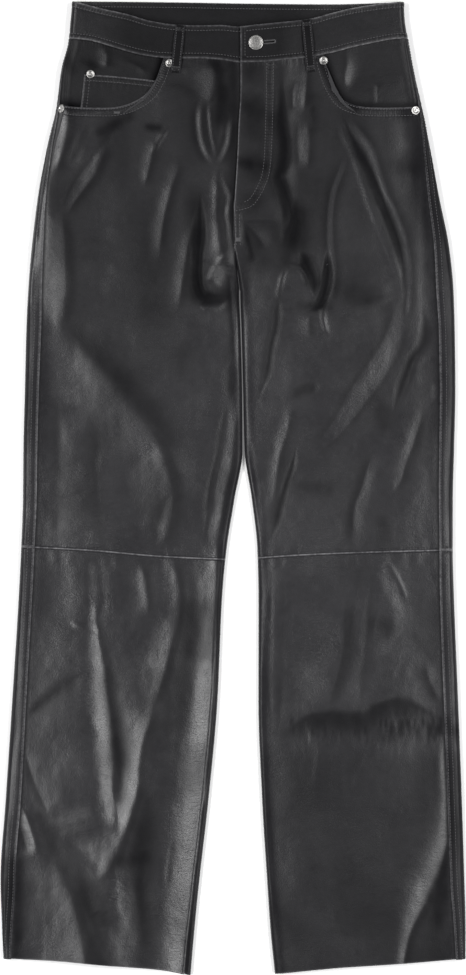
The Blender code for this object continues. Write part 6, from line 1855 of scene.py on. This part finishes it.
# ------------------------------------------------------------ metal pieces
def lathe(name, node, profile, at, up, segments=48):
    verts, quads, tris, rings = [], [], [], []
    for r, h in profile:
        if r == 0:
            rings.append([len(verts)])
            verts.append((0.0, 0.0, h))
        else:
            rings.append(list(range(len(verts), len(verts) + segments)))
            for k in range(segments):
                a = 2 * math.pi * k / segments
                verts.append((r * math.cos(a), r * math.sin(a), h))
    for lo, hi in zip(rings, rings[1:]):
        for k in range(segments):
            m = (k + 1) % segments
            if len(lo) == 1:
                tris.append((lo[0], hi[m], hi[k]))
            elif len(hi) == 1:
                tris.append((lo[k], lo[m], hi[0]))
            else:
                quads.append((lo[k], lo[m], hi[m], hi[k]))
    turn = Vector((0, 0, 1)).rotation_difference(Vector(up)).to_matrix()
    v = np.array(verts) @ np.array(turn).T + np.array(at)
    obj = make_mesh(name, v, [np.array(quads), np.array(tris)], [METAL], sharp=42)
    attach(obj, "root")
    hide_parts(node)
    return obj


def turned(points, step=0.25):
    """Profile through the points with its long stretches divided."""
    out = [points[0]]
    for a, b in zip(points, points[1:]):
        n = max(1, int(math.hypot(b[0] - a[0], b[1] - a[1]) / step))
        out += [(a[0] + (b[0] - a[0]) * k / n, a[1] + (b[1] - a[1]) * k / n) for k in range(1, n + 1)]
    return out


z_under = float(top_z(R, BUTTON_AT.x, BUTTON_AT.y, 42.0, True, False)) + BAND_PROUD
Rb = 0.5 * BUTTON_D
h0 = Z_LEFT + 0.35
arc = [(Rb - 0.75 + 0.75 * math.cos(a), h0 + 1.0 + 0.75 * math.sin(a)) for a in np.linspace(-1.4, 1.5, 9)]
face = [(Rb - 1.6, h0 + 1.62), (Rb - 2.1, h0 + 1.45), (Rb - 2.6, h0 + 1.5), (0.55 * Rb, h0 + 1.68), (0.3 * Rb, h0 + 1.80), (0, h0 + 1.85)]
lathe("button_waist", "waist_button",
      [(0, z_under + 0.3), (0.5 * SHANK_D - 0.2, z_under + 0.3), (0.5 * SHANK_D, z_under + 0.6), (0.5 * SHANK_D, h0),
       (Rb - 2.0, h0 + 0.05)] + arc + turned(face, 0.5)[0:], (BUTTON_AT.x, BUTTON_AT.y, 0.0), (0, 0, 1), 64)
for name, at in RIVETS.items():
    side = R if at.x < 0 else L
    line = np.array([[at.x, at.y]])
    s_a = s_at(side, line[:, 0], line[:, 1])
    h = 0.02
    y1 = line[:, 1]
    pa = [skin(side, s_a + d, y1, 8.0 if side == R else 0.0, True, False)[0] for d in (-h, h)]
    pb = [skin(side, s_a, y1 + d, 8.0 if side == R else 0.0, True, False)[0] for d in (-0.8, 0.8)]
    nrm = unit(np.cross(pa[1] - pa[0], pb[1] - pb[0])) * SIGN[side]
    base = skin(side, s_a, y1, 8.0 if side == R else 0.0, True, False)[0]
    sunk = LEATHER + 2 * GAP if name == "rivet_coin_pocket" else 0.0
    base = base + nrm * (0.15 - sunk)
    r = 0.5 * RIVET_D
    ring = [(r - 0.55 + 0.55 * math.cos(a), 0.62 + 0.55 * math.sin(a)) for a in np.linspace(-1.3, 1.6, 8)]
    prof = [(0, 0.0), (r - 0.5, 0.0)] + ring + [(r - 1.3, 1.10), (r - 1.9, 0.85), (r - 2.3, 0.45), (r - 2.8, 0.38), (1.35, 0.45),
                                                (1.1, 0.85), (0.7, 1.05), (0, 1.12)]
    lathe("stud_" + name, name, prof, tuple(base), tuple(nrm), 40)

for group in sorted(STITCH_ROWS):
    build_stitches(group, THREAD_MAT)

# ---------------------------------------------------------- stage and camera
scene = bpy.context.scene
floor_mat, tree, bsdf = nodes_of("studio_floor")
co = add_node(tree, "TexCoord").outputs["Object"]
ramp = add_node(tree, "ValToRGB")
ramp.color_ramp.elements[0].color = (0.90, 0.90, 0.90, 1)
ramp.color_ramp.elements[1].color = (0.94, 0.94, 0.94, 1)
tree.links.new(noise(tree, co, 4.0), ramp.inputs["Fac"])
tree.links.new(ramp.outputs["Color"], bsdf.inputs["Base Color"])
bsdf.inputs["Roughness"].default_value = 0.9
bsdf.inputs["Specular IOR Level"].default_value = 0.1
bsdf.inputs["Emission Color"].default_value = (1.0, 1.0, 1.0, 1)
bsdf.inputs["Emission Strength"].default_value = 0.14
mesh = bpy.data.meshes.new("studio_floor")
mesh.from_pydata([(-4, -4, -0.0006), (4, -4, -0.0006), (4, 4, -0.0006), (-4, 4, -0.0006)], [], [(0, 1, 2, 3)])
mesh.materials.append(floor_mat)
floor = bpy.data.objects.new("studio_floor", mesh)
scene.collection.objects.link(floor)

KEY = (100.0, 88.0)
TILT = 34.0
REACH = 3.3
for k, side_x in enumerate((-1.0, 1.0)):
    light = bpy.data.lights.new("softbox_%d" % k, "AREA")
    light.shape = "RECTANGLE"
    light.size = 0.95
    light.size_y = 3.2
    light.energy = KEY[k]
    lamp = bpy.data.objects.new("softbox_%d" % k, light)
    a = math.radians(TILT)
    lamp.location = (side_x * REACH * math.sin(a), 0.0, REACH * math.cos(a))
    lamp.rotation_euler = (0.0, side_x * a, 0.0)
    scene.collection.objects.link(lamp)
world = bpy.data.worlds.new("studio_air")
scene.world = world
world.use_nodes = True
world.node_tree.nodes["Background"].inputs["Color"].default_value = (0.97, 0.98, 1.0, 1)
world.node_tree.nodes["Background"].inputs["Strength"].default_value = 0.17

cam_data = bpy.data.cameras.new("camera")
cam_data.type = "PERSP"
cam_data.sensor_width = 36.0
cam_data.lens = 36.0 * 6.0 / 1.1100
cam_data.clip_end = 50.0
camera = bpy.data.objects.new("camera", cam_data)
camera.location = (0.0, 0.00100, 6.008)
scene.collection.objects.link(camera)
scene.camera = camera
scene.view_settings.view_transform = "Standard"
